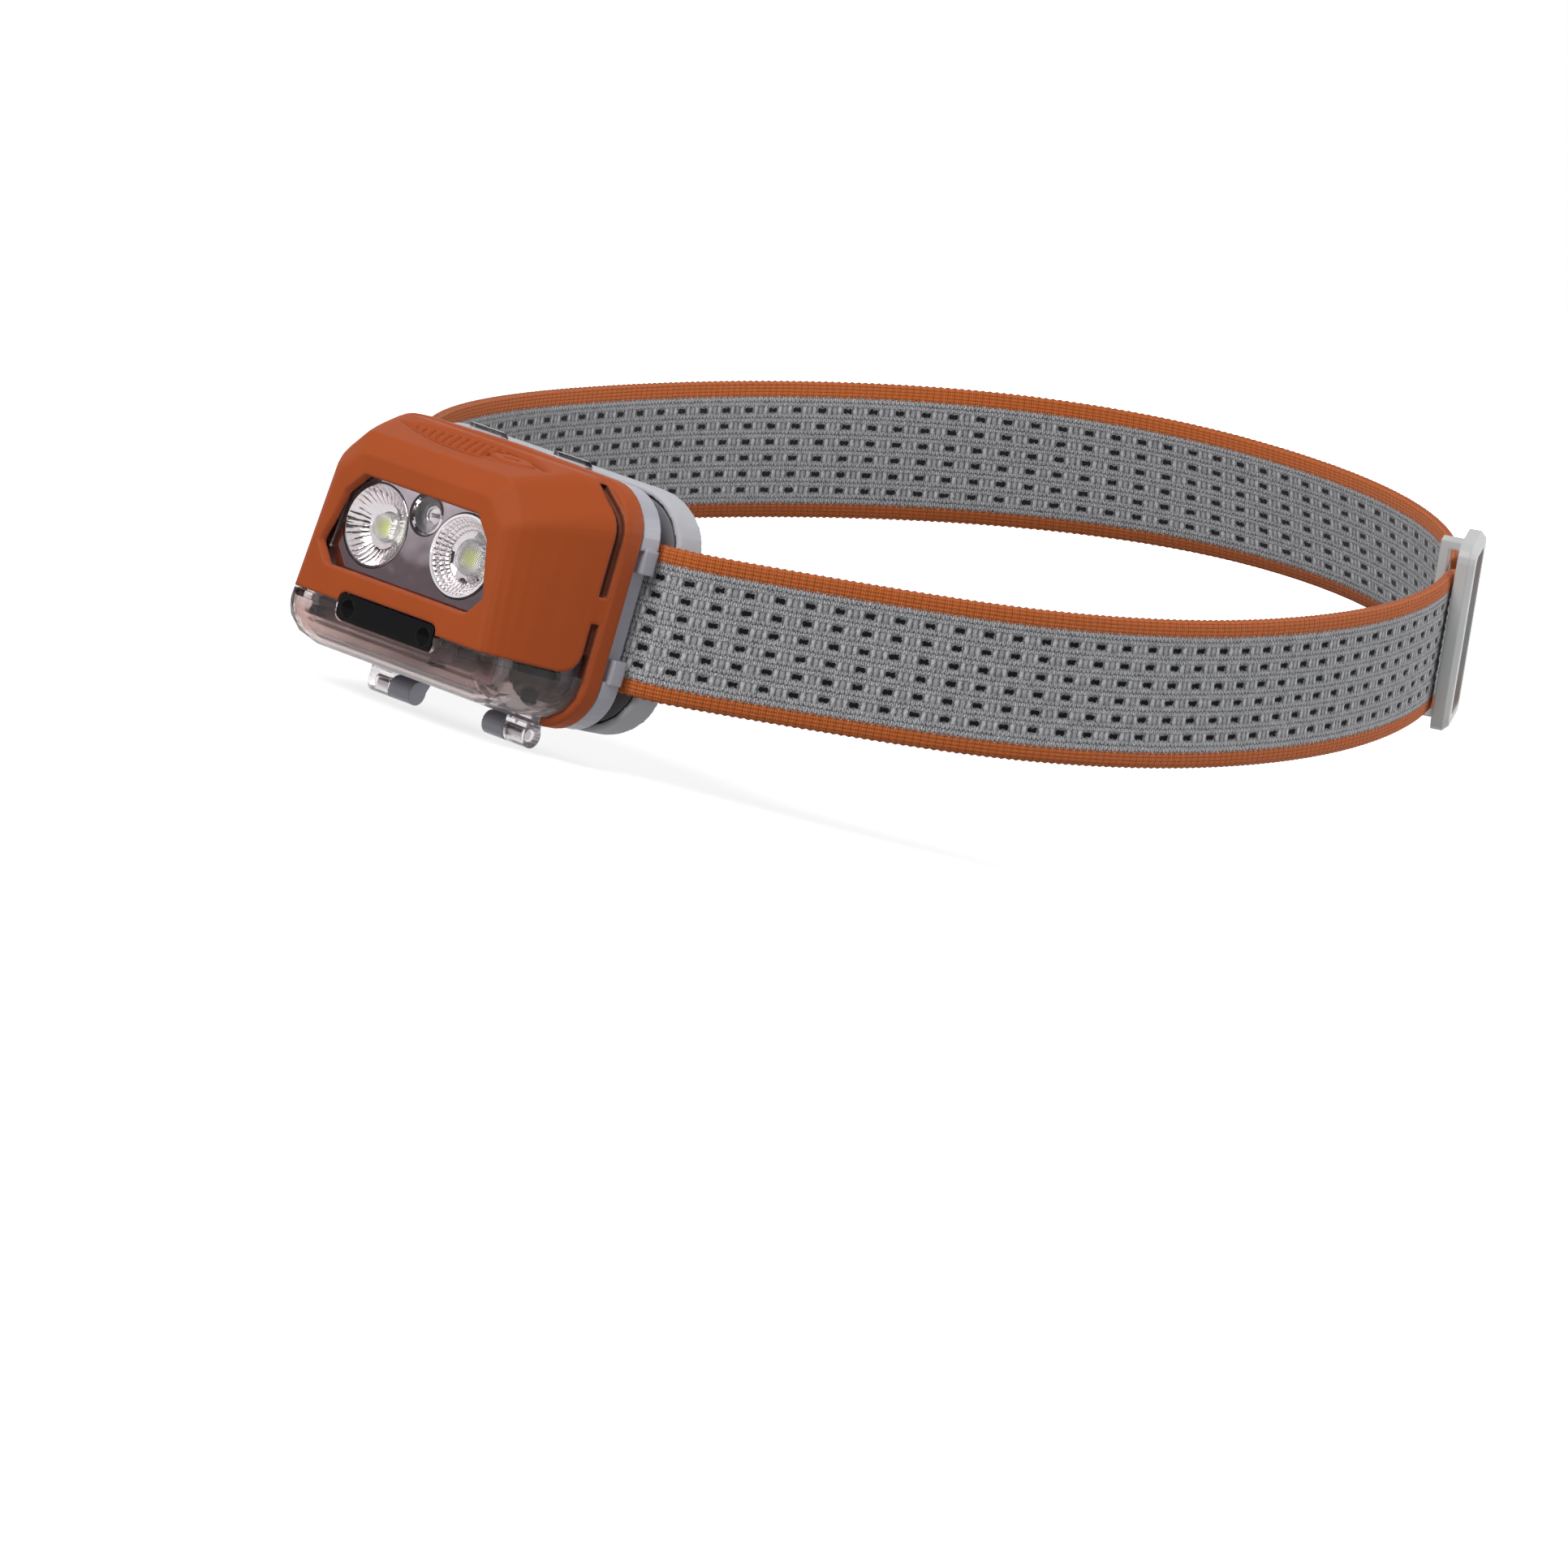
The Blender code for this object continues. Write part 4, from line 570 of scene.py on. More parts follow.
@dataclass(frozen=True)
class KnitFinish(Finish):
    """Elastic knit: grey body with rows of open eyelets, and orange edges."""

    eyelet_pitch: float
    row_pitch: float
    edge_from: float
    rib: float
    grey: Colour = (0.70, 0.70, 0.73)
    # Painted shade in the creases between the loops.
    crease_shade: Colour = (0.045, 0.045, 0.05)
    orange: Colour = (0.76, 0.185, 0.036)
    # Dark orange of painted shade in the gaps between the edging's threads.
    thread_gap_shade: Colour = (0.27, 0.045, 0.008)
    hollow: Colour = (0.006, 0.006, 0.007)
    stitch: float = 0.78 * MM
    courses: int = 3
    lumps: int = 5
    line_half: float = 0.74 * MM
    tooth: float = 0.55 * MM
    stray: float = 0.50 * MM
    warp: float = 0.62 * MM
    depth: float = 0.42 * MM
    fuzz: float = 0.30 * MM
    patch: float = 1.6 * MM
    sharp: float = 0.10 * MM
    line_soft: float = 0.22 * MM
    rows_half: float = 3.0
    eyelet: tuple[float, float] = (0.86 * MM, 0.66 * MM)

    def coat(self, paint: Paint) -> None:
        """Knit that follows the band's own map: metres along it, and metres across from its middle."""
        chart = paint.node("UVMap")
        true_along, true_across, _ = paint.axes(chart)
        stray_along, stray_across, _ = paint.axes(paint.noise(chart, self.stray, 1.0, "Color"))
        along = true_along + (stray_along - 0.5) * self.stray
        across = true_across + (stray_across - 0.5) * self.stray
        fuzz = paint.noise(paint.stretch(chart, (1.7, 1.0, 1.0)), self.fuzz, 3.0)
        patch = paint.noise(chart, self.patch)
        row = abs((across / self.row_pitch).saw() - 0.5) * self.row_pitch
        inside = 1.0 - abs(across).above(self.rows_half * self.row_pitch, self.sharp)
        line = (1.0 - row.above(self.line_half, self.line_soft)) * inside
        yarn = self.loops(along, across) * (1.0 - line) + self.pillars(along, row) * line
        yarn = yarn * 0.78 + fuzz * 0.28 + (patch - 0.5) * 0.5
        hole = self.holes(along, row) * inside
        tooth = (true_along / self.rib).peak() * self.tooth
        border = abs(true_across).above(self.edge_from + tooth, self.sharp)
        ribbed = self.edging(true_along, true_across) + fuzz * 0.35
        # Low parts of the yarn take the painted crease shade.
        grey = paint.mix(yarn.above(0.56, 0.90), self.crease_shade, self.grey)
        # Low parts of the thread grid take the painted gap shade.
        orange = paint.mix(ribbed.above(0.62, 0.75), self.thread_gap_shade, self.orange)
        body = paint.mix(hole, grey, self.hollow)
        paint.set({"Base Color": paint.mix(border, body, orange), "Roughness": 0.82 + fuzz * 0.15,
                   "Specular IOR Level": 0.25, "Sheen Weight": 0.15, "Sheen Roughness": 0.5})
        paint.bump((yarn * (1.0 - hole)) * (1.0 - border) + ribbed * border, self.depth)

    def loops(self, along: Wire, across: Wire) -> Wire:
        """Small V-shaped loops, in courses along the band."""
        course = across / (self.row_pitch / self.courses)
        leg = (abs(abs((along / self.stitch).saw() - 0.5) - 0.10 - course.saw() * 0.24)) / 0.20
        return (1.0 - leg * leg).above(0.4, 1.0) * 0.75 + course.hump() * 0.45

    def pillars(self, along: Wire, row: Wire) -> Wire:
        """Thick upright loops between the eyelets of a row."""
        reach = row / (1.25 * self.line_half)
        wing = self.step(along) / self.eyelet[0] - 1.5
        lump = ((along / (self.eyelet_pitch / self.lumps)).hump() ** 0.6) * (1.0 - reach * reach * 0.5)
        return lump * (1.05 - (wing * wing).above(0.5, 1.0) * 0.35)

    def step(self, along: Wire) -> Wire:
        """Metres along the band from the nearest eyelet."""
        return abs((along / self.eyelet_pitch + 0.5).saw() - 0.5) * self.eyelet_pitch

    def edging(self, along: Wire, across: Wire) -> Wire:
        """Fine grid of threads with a rib at each scallop."""
        weft = (along / (self.rib / 3.0)).hump() ** 0.5
        warp = (across / self.warp).hump() ** 0.5
        return weft * 0.26 + warp * 0.34 + (along / self.rib).hump() * 0.20

    def holes(self, along: Wire, row: Wire) -> Wire:
        """1 inside the eyelets, which are pinched in their middles."""
        step = self.step(along) / self.eyelet[0]
        waist = row / self.eyelet[1] / (0.45 + step * 0.65)
        reach = (step ** 3.0 + waist * waist) ** 0.5
        return 1.0 - reach.above(1.0, 0.24)


class Bench:
    """Modelling steps on one piece at a time."""

    @staticmethod
    def pick(piece: Piece, *others: Piece) -> None:
        """Select these pieces only and make the first one active."""
        bpy.ops.object.select_all(action="DESELECT")
        for each in (piece, *others):
            each.select_set(True)
        bpy.context.view_layer.objects.active = piece

    @staticmethod
    def start(add: Callable[..., Any], name: str, **settings: Any) -> Piece:
        """Add a primitive with nothing else selected, name it and put its place into its mesh.

        Args:
            add: the operator that adds it.
            name: name of the piece.
            settings: the operator's own settings.

        Returns:
            The new piece.
        """
        bpy.ops.object.select_all(action="DESELECT")
        add(**settings)
        piece = bpy.context.object
        piece.name = piece.data.name = name
        bpy.ops.object.transform_apply(location=True, rotation=True, scale=True)
        return piece

    @staticmethod
    @contextmanager
    def editing(action: str = "SELECT") -> Iterator[None]:
        """Edit mode on the active piece, with all or none of it selected."""
        bpy.ops.object.mode_set(mode="EDIT")
        bpy.ops.mesh.select_all(action=action)
        yield
        bpy.ops.object.mode_set(mode="OBJECT")

    @staticmethod
    def pull(x: float, y: float, z: float) -> None:
        """Extrude what is selected and move it."""
        bpy.ops.mesh.extrude_region_move(TRANSFORM_OT_translate={"value": (x, y, z)})

    @staticmethod
    def step_in(piece: Piece, inset: float, move: float) -> None:
        """Inset a piece's front faces and push them along Y.

        Args:
            piece: the piece.
            inset: width of the ring that stays.
            move: metres along Y, towards the back where positive.
        """
        with Bench.editing("DESELECT"):
            bpy.ops.mesh.select_mode(type="FACE")
        for face in piece.data.polygons:
            face.select = face.normal.y < FACES_FRONT
        bpy.ops.object.mode_set(mode="EDIT")
        bpy.ops.mesh.inset(thickness=inset, depth=0.0)
        Bench.pull(0.0, move, 0.0)
        bpy.ops.object.mode_set(mode="OBJECT")

    @staticmethod
    def cut(at: Vector, normal: Vector, fill: bool) -> None:
        """Cut away the active piece's part beyond a plane, while it is being edited."""
        bpy.ops.mesh.bisect(plane_co=at, plane_no=normal, use_fill=fill, clear_outer=True)

    @staticmethod
    def points(piece: Piece) -> np.ndarray:
        """Points of a piece, one row each."""
        points = np.empty(len(piece.data.vertices) * 3)
        piece.data.vertices.foreach_get("co", points)
        return points.reshape(-1, 3)

    @staticmethod
    def shape(piece: Piece, points: np.ndarray) -> None:
        """Move all points of a piece to new places, one row each."""
        piece.data.vertices.foreach_set("co", points.ravel())
        piece.data.update()

    @staticmethod
    def modifier(piece: Piece, kind: str, **settings: Any) -> None:
        """Add a modifier and apply it."""
        Bench.pick(piece)
        made = piece.modifiers.new(kind.title(), kind)
        for key, value in settings.items():
            setattr(made, key, value)
        bpy.ops.object.modifier_apply(modifier=made.name)

    @staticmethod
    def weld(piece: Piece, gap: float = WELD) -> None:
        """Merge points that lie on each other and turn all faces outwards."""
        Bench.pick(piece)
        with Bench.editing():
            bpy.ops.mesh.remove_doubles(threshold=gap)
            bpy.ops.mesh.normals_make_consistent(inside=False)

    @staticmethod
    def settle(piece: Piece, angle: float = 35.0) -> None:
        """Smooth a piece's stretches that turn by less than an angle in degrees."""
        Bench.pick(piece)
        bpy.ops.object.shade_smooth_by_angle(angle=math.radians(angle))

    @staticmethod
    def join(piece: Piece, *others: Piece) -> None:
        """Make other pieces part of a piece."""
        Bench.pick(piece, *others)
        bpy.ops.object.join()

    @staticmethod
    def twin(piece: Piece, name: str, move: Matrix) -> Piece:
        """Copy of a piece with its own mesh.

        Args:
            piece: the modelled piece.
            name: name of the copy.
            move: where the copy goes, mirrored where the matrix is.

        Returns:
            The copy.
        """
        copy = bpy.data.objects.new(name, piece.data.copy())
        copy.data.name = name
        copy.data.transform(move)
        if move.is_negative:
            copy.data.flip_normals()
        bpy.context.scene.collection.objects.link(copy)
        return copy


def dress(piece: Piece, material: Material) -> None:
    """Give a piece one material all over."""
    piece.data.materials.clear()
    piece.data.materials.append(material)


def carry(piece: Piece, material: Material, body: Body, slot: Slot, *nodes: str) -> None:
    """Dress a piece and make it ride on a body.

    Args:
        piece: the finished piece.
        material: its finish.
        body: body that it moves with.
        slot: material slot of the record; not used.
        nodes: nodes that it stands for.
    """
    dress(piece, material)
    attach(piece, body.value)
    if nodes:
        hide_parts(*nodes)
    LOG.info("%s rides on %s, %d faces", piece.name, body.value, len(piece.data.polygons))


def unit(vectors: np.ndarray) -> np.ndarray:
    """Rows scaled to length 1."""
    return vectors / np.linalg.norm(vectors, axis=1, keepdims=True)


def limit(values: np.ndarray) -> np.ndarray:
    """Values held between 0 and 1."""
    return np.clip(values, 0.0, 1.0)


class Assembly:
    """Sub-assembly that models its own pieces."""

    def build(self, frame: Frame, looks: Looks) -> None:
        """Model the pieces and let each ride on its body.

        Args:
            frame: the loaded frame.
            looks: the shared finishes.
        """
        raise NotImplementedError


class Beam(Enum):
    """Kinds of beam, by their reflectors."""

    SPOT = "spot"
    FLOOD = "flood"


@dataclass
class ReflectorBowl(Assembly):
    """Mirror bowl with flutes or rings of small pillows, its light source and the dotted lens over it."""

    beam: Beam
    flutes: int
    flute_depth: float
    lens_radius: float
    tiers: int = 0
    smooth_share: float = 0.3
    rings: int = 20
    columns: int = 6
    wall: float = 0.3 * MM
    throat: float = 2.5 * MM
    flange: float = 0.22 * MM
    flange_rise: float = 0.06 * MM
    lens_foot: float = 1.25 * MM
    lens_rise: float = 0.75 * MM
    lens_wall: float = 0.3 * MM
    lens_gap: float = 0.12 * MM
    die_inset: float = 0.2 * MM
    die_rise: float = 0.4 * MM
    die_base: float = 0.37
    crisp: float = 30.0
    fade: tuple[float, float] = (0.12, 0.06)

    def build(self, frame: Frame, looks: Looks) -> None:
        """Model the bowl and the light source in place of their nodes, and add the lens."""
        word = self.beam.value
        low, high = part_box(word + "_reflector")
        self.middle = (low + high) / 2
        self.back, self.front = high.y, low.y
        self.rim = (high.x - low.x) / 2 - self.wall
        carry(self.bowl(word + "_bowl"), looks.mirror, Body.LAMP, Slot.MIRROR, word + "_reflector")
        phosphor = PhosphorFinish(word + "_phosphor", self.middle).material()
        carry(self.die(word + "_die"), phosphor, Body.LAMP, Slot.PHOSPHOR, word + "_led")
        carry(self.lens(word + "_lens"), looks.dotted, Body.LAMP, Slot.LENS)

    def bowl(self, name: str) -> Piece:
        """Ring pulled forwards and outwards step by step, then fluted and thickened."""
        middle = Vector((self.middle.x, self.back, self.middle.z))
        piece = Bench.start(bpy.ops.mesh.primitive_circle_add, name, vertices=self.flutes * self.columns,
                            radius=self.throat, location=middle, rotation=TO_FRONT)
        steps = [(ring / self.rings) ** 2 for ring in range(1, self.rings + 1)]
        radii = [self.throat + (self.rim - self.throat) * math.sqrt(share) for share in steps]
        depths = [self.back + (self.front - self.back) * share for share in steps]
        radii += [self.rim, self.rim + self.flange]
        depths += [self.front - self.flange_rise] * 2
        radius, y = self.throat, self.back
        with Bench.editing():
            for next_radius, next_y in zip(radii, depths):
                Bench.pull(0.0, next_y - y, 0.0)
                grow = next_radius / radius
                bpy.ops.transform.resize(value=(grow, 1.0, grow),
                                         center_override=(middle.x, next_y, middle.z))
                radius, y = next_radius, next_y
        Bench.shape(piece, self.fluted(Bench.points(piece)))
        Bench.modifier(piece, "SOLIDIFY", thickness=self.wall, offset=-1.0)
        Bench.weld(piece)
        Bench.settle(piece, self.crisp)
        return piece

    def fluted(self, points: np.ndarray) -> np.ndarray:
        """Press flutes into the bowl's wall, cut into rings of pillows where the bowl has tiers."""
        x, z = points[:, 0] - self.middle.x, points[:, 2] - self.middle.z
        radius, angle = np.hypot(x, z), np.arctan2(z, x)
        share = (radius - self.throat) / (self.rim - self.throat)
        outer = limit((share - self.smooth_share) / (1.0 - self.smooth_share))
        fade = limit(outer / self.fade[0]) * limit((1.0 - outer) / self.fade[1])
        press = self.flute_depth * np.abs(np.sin(self.flutes * angle / 2)) * fade
        if self.tiers:
            press = press * np.sqrt(np.abs(np.sin(math.pi * self.tiers * outer)))
        grown = (radius - press) / radius
        return np.column_stack((self.middle.x + x * grown, points[:, 1], self.middle.z + z * grown))

    def die(self, name: str) -> Piece:
        """Square base with a smaller square of phosphor on its front."""
        low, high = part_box(self.beam.value + "_led")
        side, base = high.x - low.x, (self.back - low.y) * self.die_base
        piece = Bench.start(bpy.ops.mesh.primitive_cube_add, name, size=1.0, scale=(side, base, side),
                            location=(self.middle.x, self.back - base / 2, self.middle.z))
        Bench.step_in(piece, self.die_inset, -self.die_rise)
        Bench.settle(piece, self.crisp)
        return piece

    def lens(self, name: str) -> Piece:
        """Low dome on a short round wall, hollow, over the light source."""
        foot = Vector((self.middle.x, self.back - self.lens_foot, self.middle.z))
        piece = Bench.start(bpy.ops.mesh.primitive_uv_sphere_add, name, segments=48, ring_count=24,
                            radius=self.lens_radius, location=foot, rotation=TO_FRONT)
        with Bench.editing():
            Bench.cut(foot, Vector((0.0, 1.0, 0.0)), False)
            bpy.ops.mesh.select_all(action="SELECT")
            flatter = (1.0, self.lens_rise / self.lens_radius, 1.0)
            bpy.ops.transform.resize(value=flatter, center_override=foot)
            bpy.ops.mesh.select_all(action="DESELECT")
            bpy.ops.mesh.select_mode(type="EDGE")
            bpy.ops.mesh.select_non_manifold()
            Bench.pull(0.0, self.lens_foot - self.lens_gap, 0.0)
        Bench.weld(piece)
        Bench.modifier(piece, "SOLIDIFY", thickness=self.lens_wall, offset=-1.0)
        Bench.settle(piece)
        return piece


@dataclass
class SignalEye(Assembly):
    """Cup with its die inside the round-nosed signal light."""

    cup_radius: float = 1.5 * MM
    cup_rise: float = 0.8 * MM
    cup_wall: float = 0.3 * MM
    cup_depth: float = 0.55 * MM
    cup_edge: float = 0.08 * MM
    die: float = 0.6 * MM
    die_step: tuple[float, float] = (0.15, -0.2)
    sink: float = 0.3 * MM

    def build(self, frame: Frame, looks: Looks) -> None:
        """Model the cup and the die."""
        low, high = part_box("signal_led")
        middle = (low + high) / 2
        foot = high.y - self.sink
        seat = foot - self.cup_rise + self.cup_depth
        cup = Bench.start(bpy.ops.mesh.primitive_cylinder_add, "signal_cup", vertices=40,
                          radius=self.cup_radius, depth=self.cup_rise, rotation=TO_FRONT,
                          location=(middle.x, foot - self.cup_rise / 2, middle.z))
        Bench.step_in(cup, self.cup_wall, self.cup_depth)
        Bench.modifier(cup, "BEVEL", width=self.cup_edge, segments=3)
        Bench.settle(cup)
        carry(cup, looks.mirror, Body.LAMP, Slot.MIRROR)
        die = Bench.start(bpy.ops.mesh.primitive_cube_add, "signal_die", size=self.die,
                          location=(middle.x, seat - self.die / 2, middle.z))
        Bench.step_in(die, *(self.die * share for share in self.die_step))
        Bench.settle(die)
        carry(die, looks.white, Body.LAMP, Slot.PHOSPHOR)


@dataclass
class PaneWire(Assembly):
    """Thin wire with a bead at each end, along the window's left edge."""

    top: Place = (-16.8 * MM, -30.05 * MM, 7.3 * MM)
    foot: Place = (-18.1 * MM, -30.05 * MM, -3.2 * MM)
    radius: float = 0.07 * MM
    bead: float = 0.18 * MM
    voxel: float = 0.04 * MM

    def build(self, frame: Frame, looks: Looks) -> None:
        """Model the wire and its beads as one piece."""
        top, foot = Vector(self.top), Vector(self.foot)
        wire = Bench.start(bpy.ops.mesh.primitive_cylinder_add, "pane_wire", vertices=10, radius=self.radius,
                           depth=(top - foot).length, location=(top + foot) / 2,
                           rotation=(top - foot).to_track_quat("Z", "Y").to_euler())
        bead = Bench.start(bpy.ops.mesh.primitive_uv_sphere_add, "pane_bead", segments=12, ring_count=8,
                           radius=self.bead, location=top)
        Bench.join(wire, bead, Bench.twin(bead, "pane_bead_foot", Matrix.Translation(foot - top)))
        Bench.modifier(wire, "REMESH", mode="VOXEL", voxel_size=self.voxel)
        Bench.settle(wire, ALL_ROUND)
        carry(wire, looks.white, Body.LAMP, Slot.STEEL)


@dataclass
class RoofButton(Assembly):
    """Leaf-shaped button with grip dots and a raised eye with a ring."""

    length: float = 32.0 * MM
    width: float = 8.0 * MM
    thickness: float = 0.7 * MM
    eye_height: float = 0.3 * MM
    eye_rise: float = 0.40 * MM
    ring_depth: float = 0.55 * MM
    sink: float = 0.12 * MM
    dot_pitch: float = 1.75 * MM
    dot_radius: float = 0.74 * MM
    dot_height: float = 0.62 * MM
    dot_rows: float = 0.85
    stem_radius: float = 1.0 * MM
    eye_x: float = 8.2 * MM
    eye_half: tuple[float, float] = (5.0 * MM, 2.0 * MM)
    ring_half: tuple[float, float] = (1.9 * MM, 0.75 * MM)
    level: float = 0.02 * MM
    lip: float = 0.5 * MM
    flank: float = 0.25 * MM
    sink_from: float = 0.4
    dots_end: float = 0.8
    core_share: tuple[float, float] = (0.55, 0.45)
    crisp: float = 40.0
    columns: int = 200
    rows: int = 48

    def build(self, frame: Frame, looks: Looks) -> None:
        """Model the button on the roof in place of its node."""
        press = next(joint for joint in frame["joints"] if joint["child"] == Body.BUTTON.value)
        normal = -Vector(press["axis"])
        slope = Vector((0.0, normal.z, -normal.y))
        points = [vertex.co for vertex in frame["nodes"]["button"].data.vertices]
        heights = [point.dot(normal) for point in points]
        top, tip = max(heights) - self.eye_height, min(heights)
        rim = [point.dot(slope) for point, up in zip(points, heights) if abs(up - top) < self.level]
        middle = (min(rim) + max(rim)) / 2
        self.seat = Matrix.Translation(normal * top + slope * middle) @ Matrix(
            (Vector((1.0, 0.0, 0.0)), slope, normal)).transposed().to_4x4()
        foot = [point.dot(slope) for point, up in zip(points, heights) if up < tip + self.level]
        self.stem_length = top - self.thickness - tip
        self.stem_y = sum(foot) / len(foot) - middle
        carry(self.leaf(), looks.orange, Body.BUTTON, Slot.ORANGE, "button")

    def leaf(self) -> Piece:
        """Grid drawn into a leaf, raised into dots and eye, then given its thickness and its stem."""
        piece = Bench.start(bpy.ops.mesh.primitive_grid_add, "leaf_button", x_subdivisions=self.columns,
                            y_subdivisions=self.rows, size=2.0)
        Bench.shape(piece, self.relief(Bench.points(piece)))
        with Bench.editing():
            bpy.ops.mesh.remove_doubles(threshold=NODE_WELD)
            Bench.pull(0.0, 0.0, -self.thickness)
            bpy.ops.transform.resize(value=(1.0, 1.0, 0.0), center_override=(0.0, 0.0, -self.thickness))
            bpy.ops.mesh.select_all(action="SELECT")
            bpy.ops.mesh.normals_make_consistent(inside=False)
        stem = Bench.start(bpy.ops.mesh.primitive_cylinder_add, "leaf_stem", vertices=24,
                           radius=self.stem_radius, depth=self.stem_length,
                           location=(0.0, self.stem_y, -self.thickness - self.stem_length / 2))
        Bench.join(piece, stem)
        piece.data.transform(self.seat)
        Bench.settle(piece, self.crisp)
        return piece

    def relief(self, points: np.ndarray) -> np.ndarray:
        """Leaf outline with the heights of its top."""
        share = points[:, 0]
        x = share * self.length / 2
        half = self.width / 2 * (1.0 - share * share)
        y = points[:, 1] * half
        z = -self.sink * limit((y / (self.width / 2) + self.sink_from) / (1.0 + self.sink_from))
        lip = limit((half - np.abs(y)) / self.lip)
        dots = self.dots(x, y) * lip * (x < self.eye_x - self.eye_half[0] * self.dots_end)
        eye = self.rise(x, y, self.eye_half)
        ring = self.rise(x, y, self.ring_half)
        long_share, wide_share = self.core_share
        core = self.rise(x, y, (self.ring_half[0] * long_share, self.ring_half[1] * wide_share))
        z = z * (1.0 - eye) + dots * self.dot_height + eye * self.eye_rise - (ring - core) * self.ring_depth
        return np.column_stack((x, y, z))

    def dots(self, x: np.ndarray, y: np.ndarray) -> np.ndarray:
        """Staggered round dots, 1 at their tops."""
        row = np.round(y / (self.dot_pitch * self.dot_rows))
        along = x / self.dot_pitch + np.where(row % 2 == 0, 0.0, 0.5)
        side = (along - np.round(along)) * self.dot_pitch
        up = y - row * self.dot_pitch * self.dot_rows
        reach = np.hypot(side, up) / self.dot_radius
        return np.sqrt(limit(1.0 - reach ** 2))

    def rise(self, x: np.ndarray, y: np.ndarray, half: tuple[float, float]) -> np.ndarray:
        """Plateau with a pointed eye's outline: 1 inside, 0 outside."""
        share = np.clip((x - self.eye_x) / half[0], -1.0, 1.0)
        room = half[1] * (1.0 - share ** 2) - np.abs(y)
        return limit(room / self.flank + 0.5) * (np.abs(share) < 1.0)


@dataclass
class ForeheadPad(Assembly):
    """Soft pad with its lip round the plate."""

    voxel: float = 0.40 * MM
    ease: int = 6

    def build(self, frame: Frame, looks: Looks) -> None:
        """Round off a copy of the pad's solid and let it stand for it."""
        pad = Bench.twin(frame["nodes"]["forehead_pad"], "soft_pad", Matrix())
        Bench.weld(pad, NODE_WELD)
        Bench.modifier(pad, "REMESH", mode="VOXEL", voxel_size=self.voxel)
        Bench.modifier(pad, "SMOOTH", factor=0.5, iterations=self.ease)
        Bench.settle(pad, ALL_ROUND)
        carry(pad, looks.foam, Body.CARRIER, Slot.PAD, "forehead_pad")


@dataclass
class StrapRoute:
    """Middle line of the band round the head."""

    front_y: float
    half_width: float = 79.5 * MM
    length: float = 191.2 * MM
    power: float = 2.1
    straight_half: float = 31.8 * MM
    rise: float = 19.6 * MM
    lift: float = 17.8 * MM
    lean: float = math.radians(-28.0)
    lean_power: float = 3.3
    step: float = 4.5 * MM
    points: int = 401
    ease: int = 3

    def head(self, angle: np.ndarray) -> np.ndarray:
        """Points of the head's outline on the +X side, by angle from the forehead."""
        c, s = np.cos(angle), np.sin(angle)
        half = self.length / 2
        x = self.half_width * np.abs(c) ** (2 / self.power)
        return np.column_stack((x, half + half * np.sign(s) * np.abs(s) ** (2 / self.power)))

    def half_path(self) -> np.ndarray:
        """Straight stretch behind the lamp, then tangent to the head and round it."""
        angles = np.linspace(-math.pi / 2, math.pi / 2, self.points)
        outline = self.head(angles)
        corner = np.array((self.straight_half, self.front_y))
        ahead = (outline[:, 0] > corner[0]) & (angles < 0.0)
        turn = np.arctan2(outline[:, 1] - corner[1], outline[:, 0] - corner[0])
        touch = np.argmin(np.where(ahead, turn, np.inf))
        return np.vstack(((0.0, self.front_y), corner, outline[touch:]))

    def loop(self) -> np.ndarray:
        """Closed path in plan with eased bends, at even steps."""
        path = self.half_path()
        run = np.concatenate(((0.0,), np.cumsum(np.hypot(*np.diff(path, axis=0).T))))
        marks = np.linspace(0.0, run[-1], max(round(run[-1] / self.step), 2) + 1)
        half = np.column_stack((np.interp(marks, run, path[:, 0]), np.interp(marks, run, path[:, 1])))
        loop = np.vstack((half, half[-2:0:-1] * (-1.0, 1.0)))
        for _ in range(self.ease):
            loop = (np.roll(loop, 1, 0) + 2 * loop + np.roll(loop, -1, 0)) / 4
        return loop

    def frames(self) -> tuple[np.ndarray, np.ndarray, np.ndarray]:
        """Places, outward sides and upward sides all round the loop."""
        loop = self.loop()
        share = (loop[:, 1] - self.front_y) / (self.length - self.front_y)
        places = np.column_stack((loop, self.rise * share + self.lift * share ** 2))
        along = unit(np.roll(places, -1, 0) - np.roll(places, 1, 0))
        outward = unit(np.cross(along, (0.0, 0.0, 1.0)))
        upward = np.cross(outward, along)
        late = np.clip((loop[:, 1] - self.length / 2) / (self.length / 2), 0.0, None)
        lean = (self.lean * late ** self.lean_power)[:, None]
        turned_up = upward * np.cos(lean) + outward * np.sin(lean)
        return places, outward * np.cos(lean) - upward * np.sin(lean), turned_up


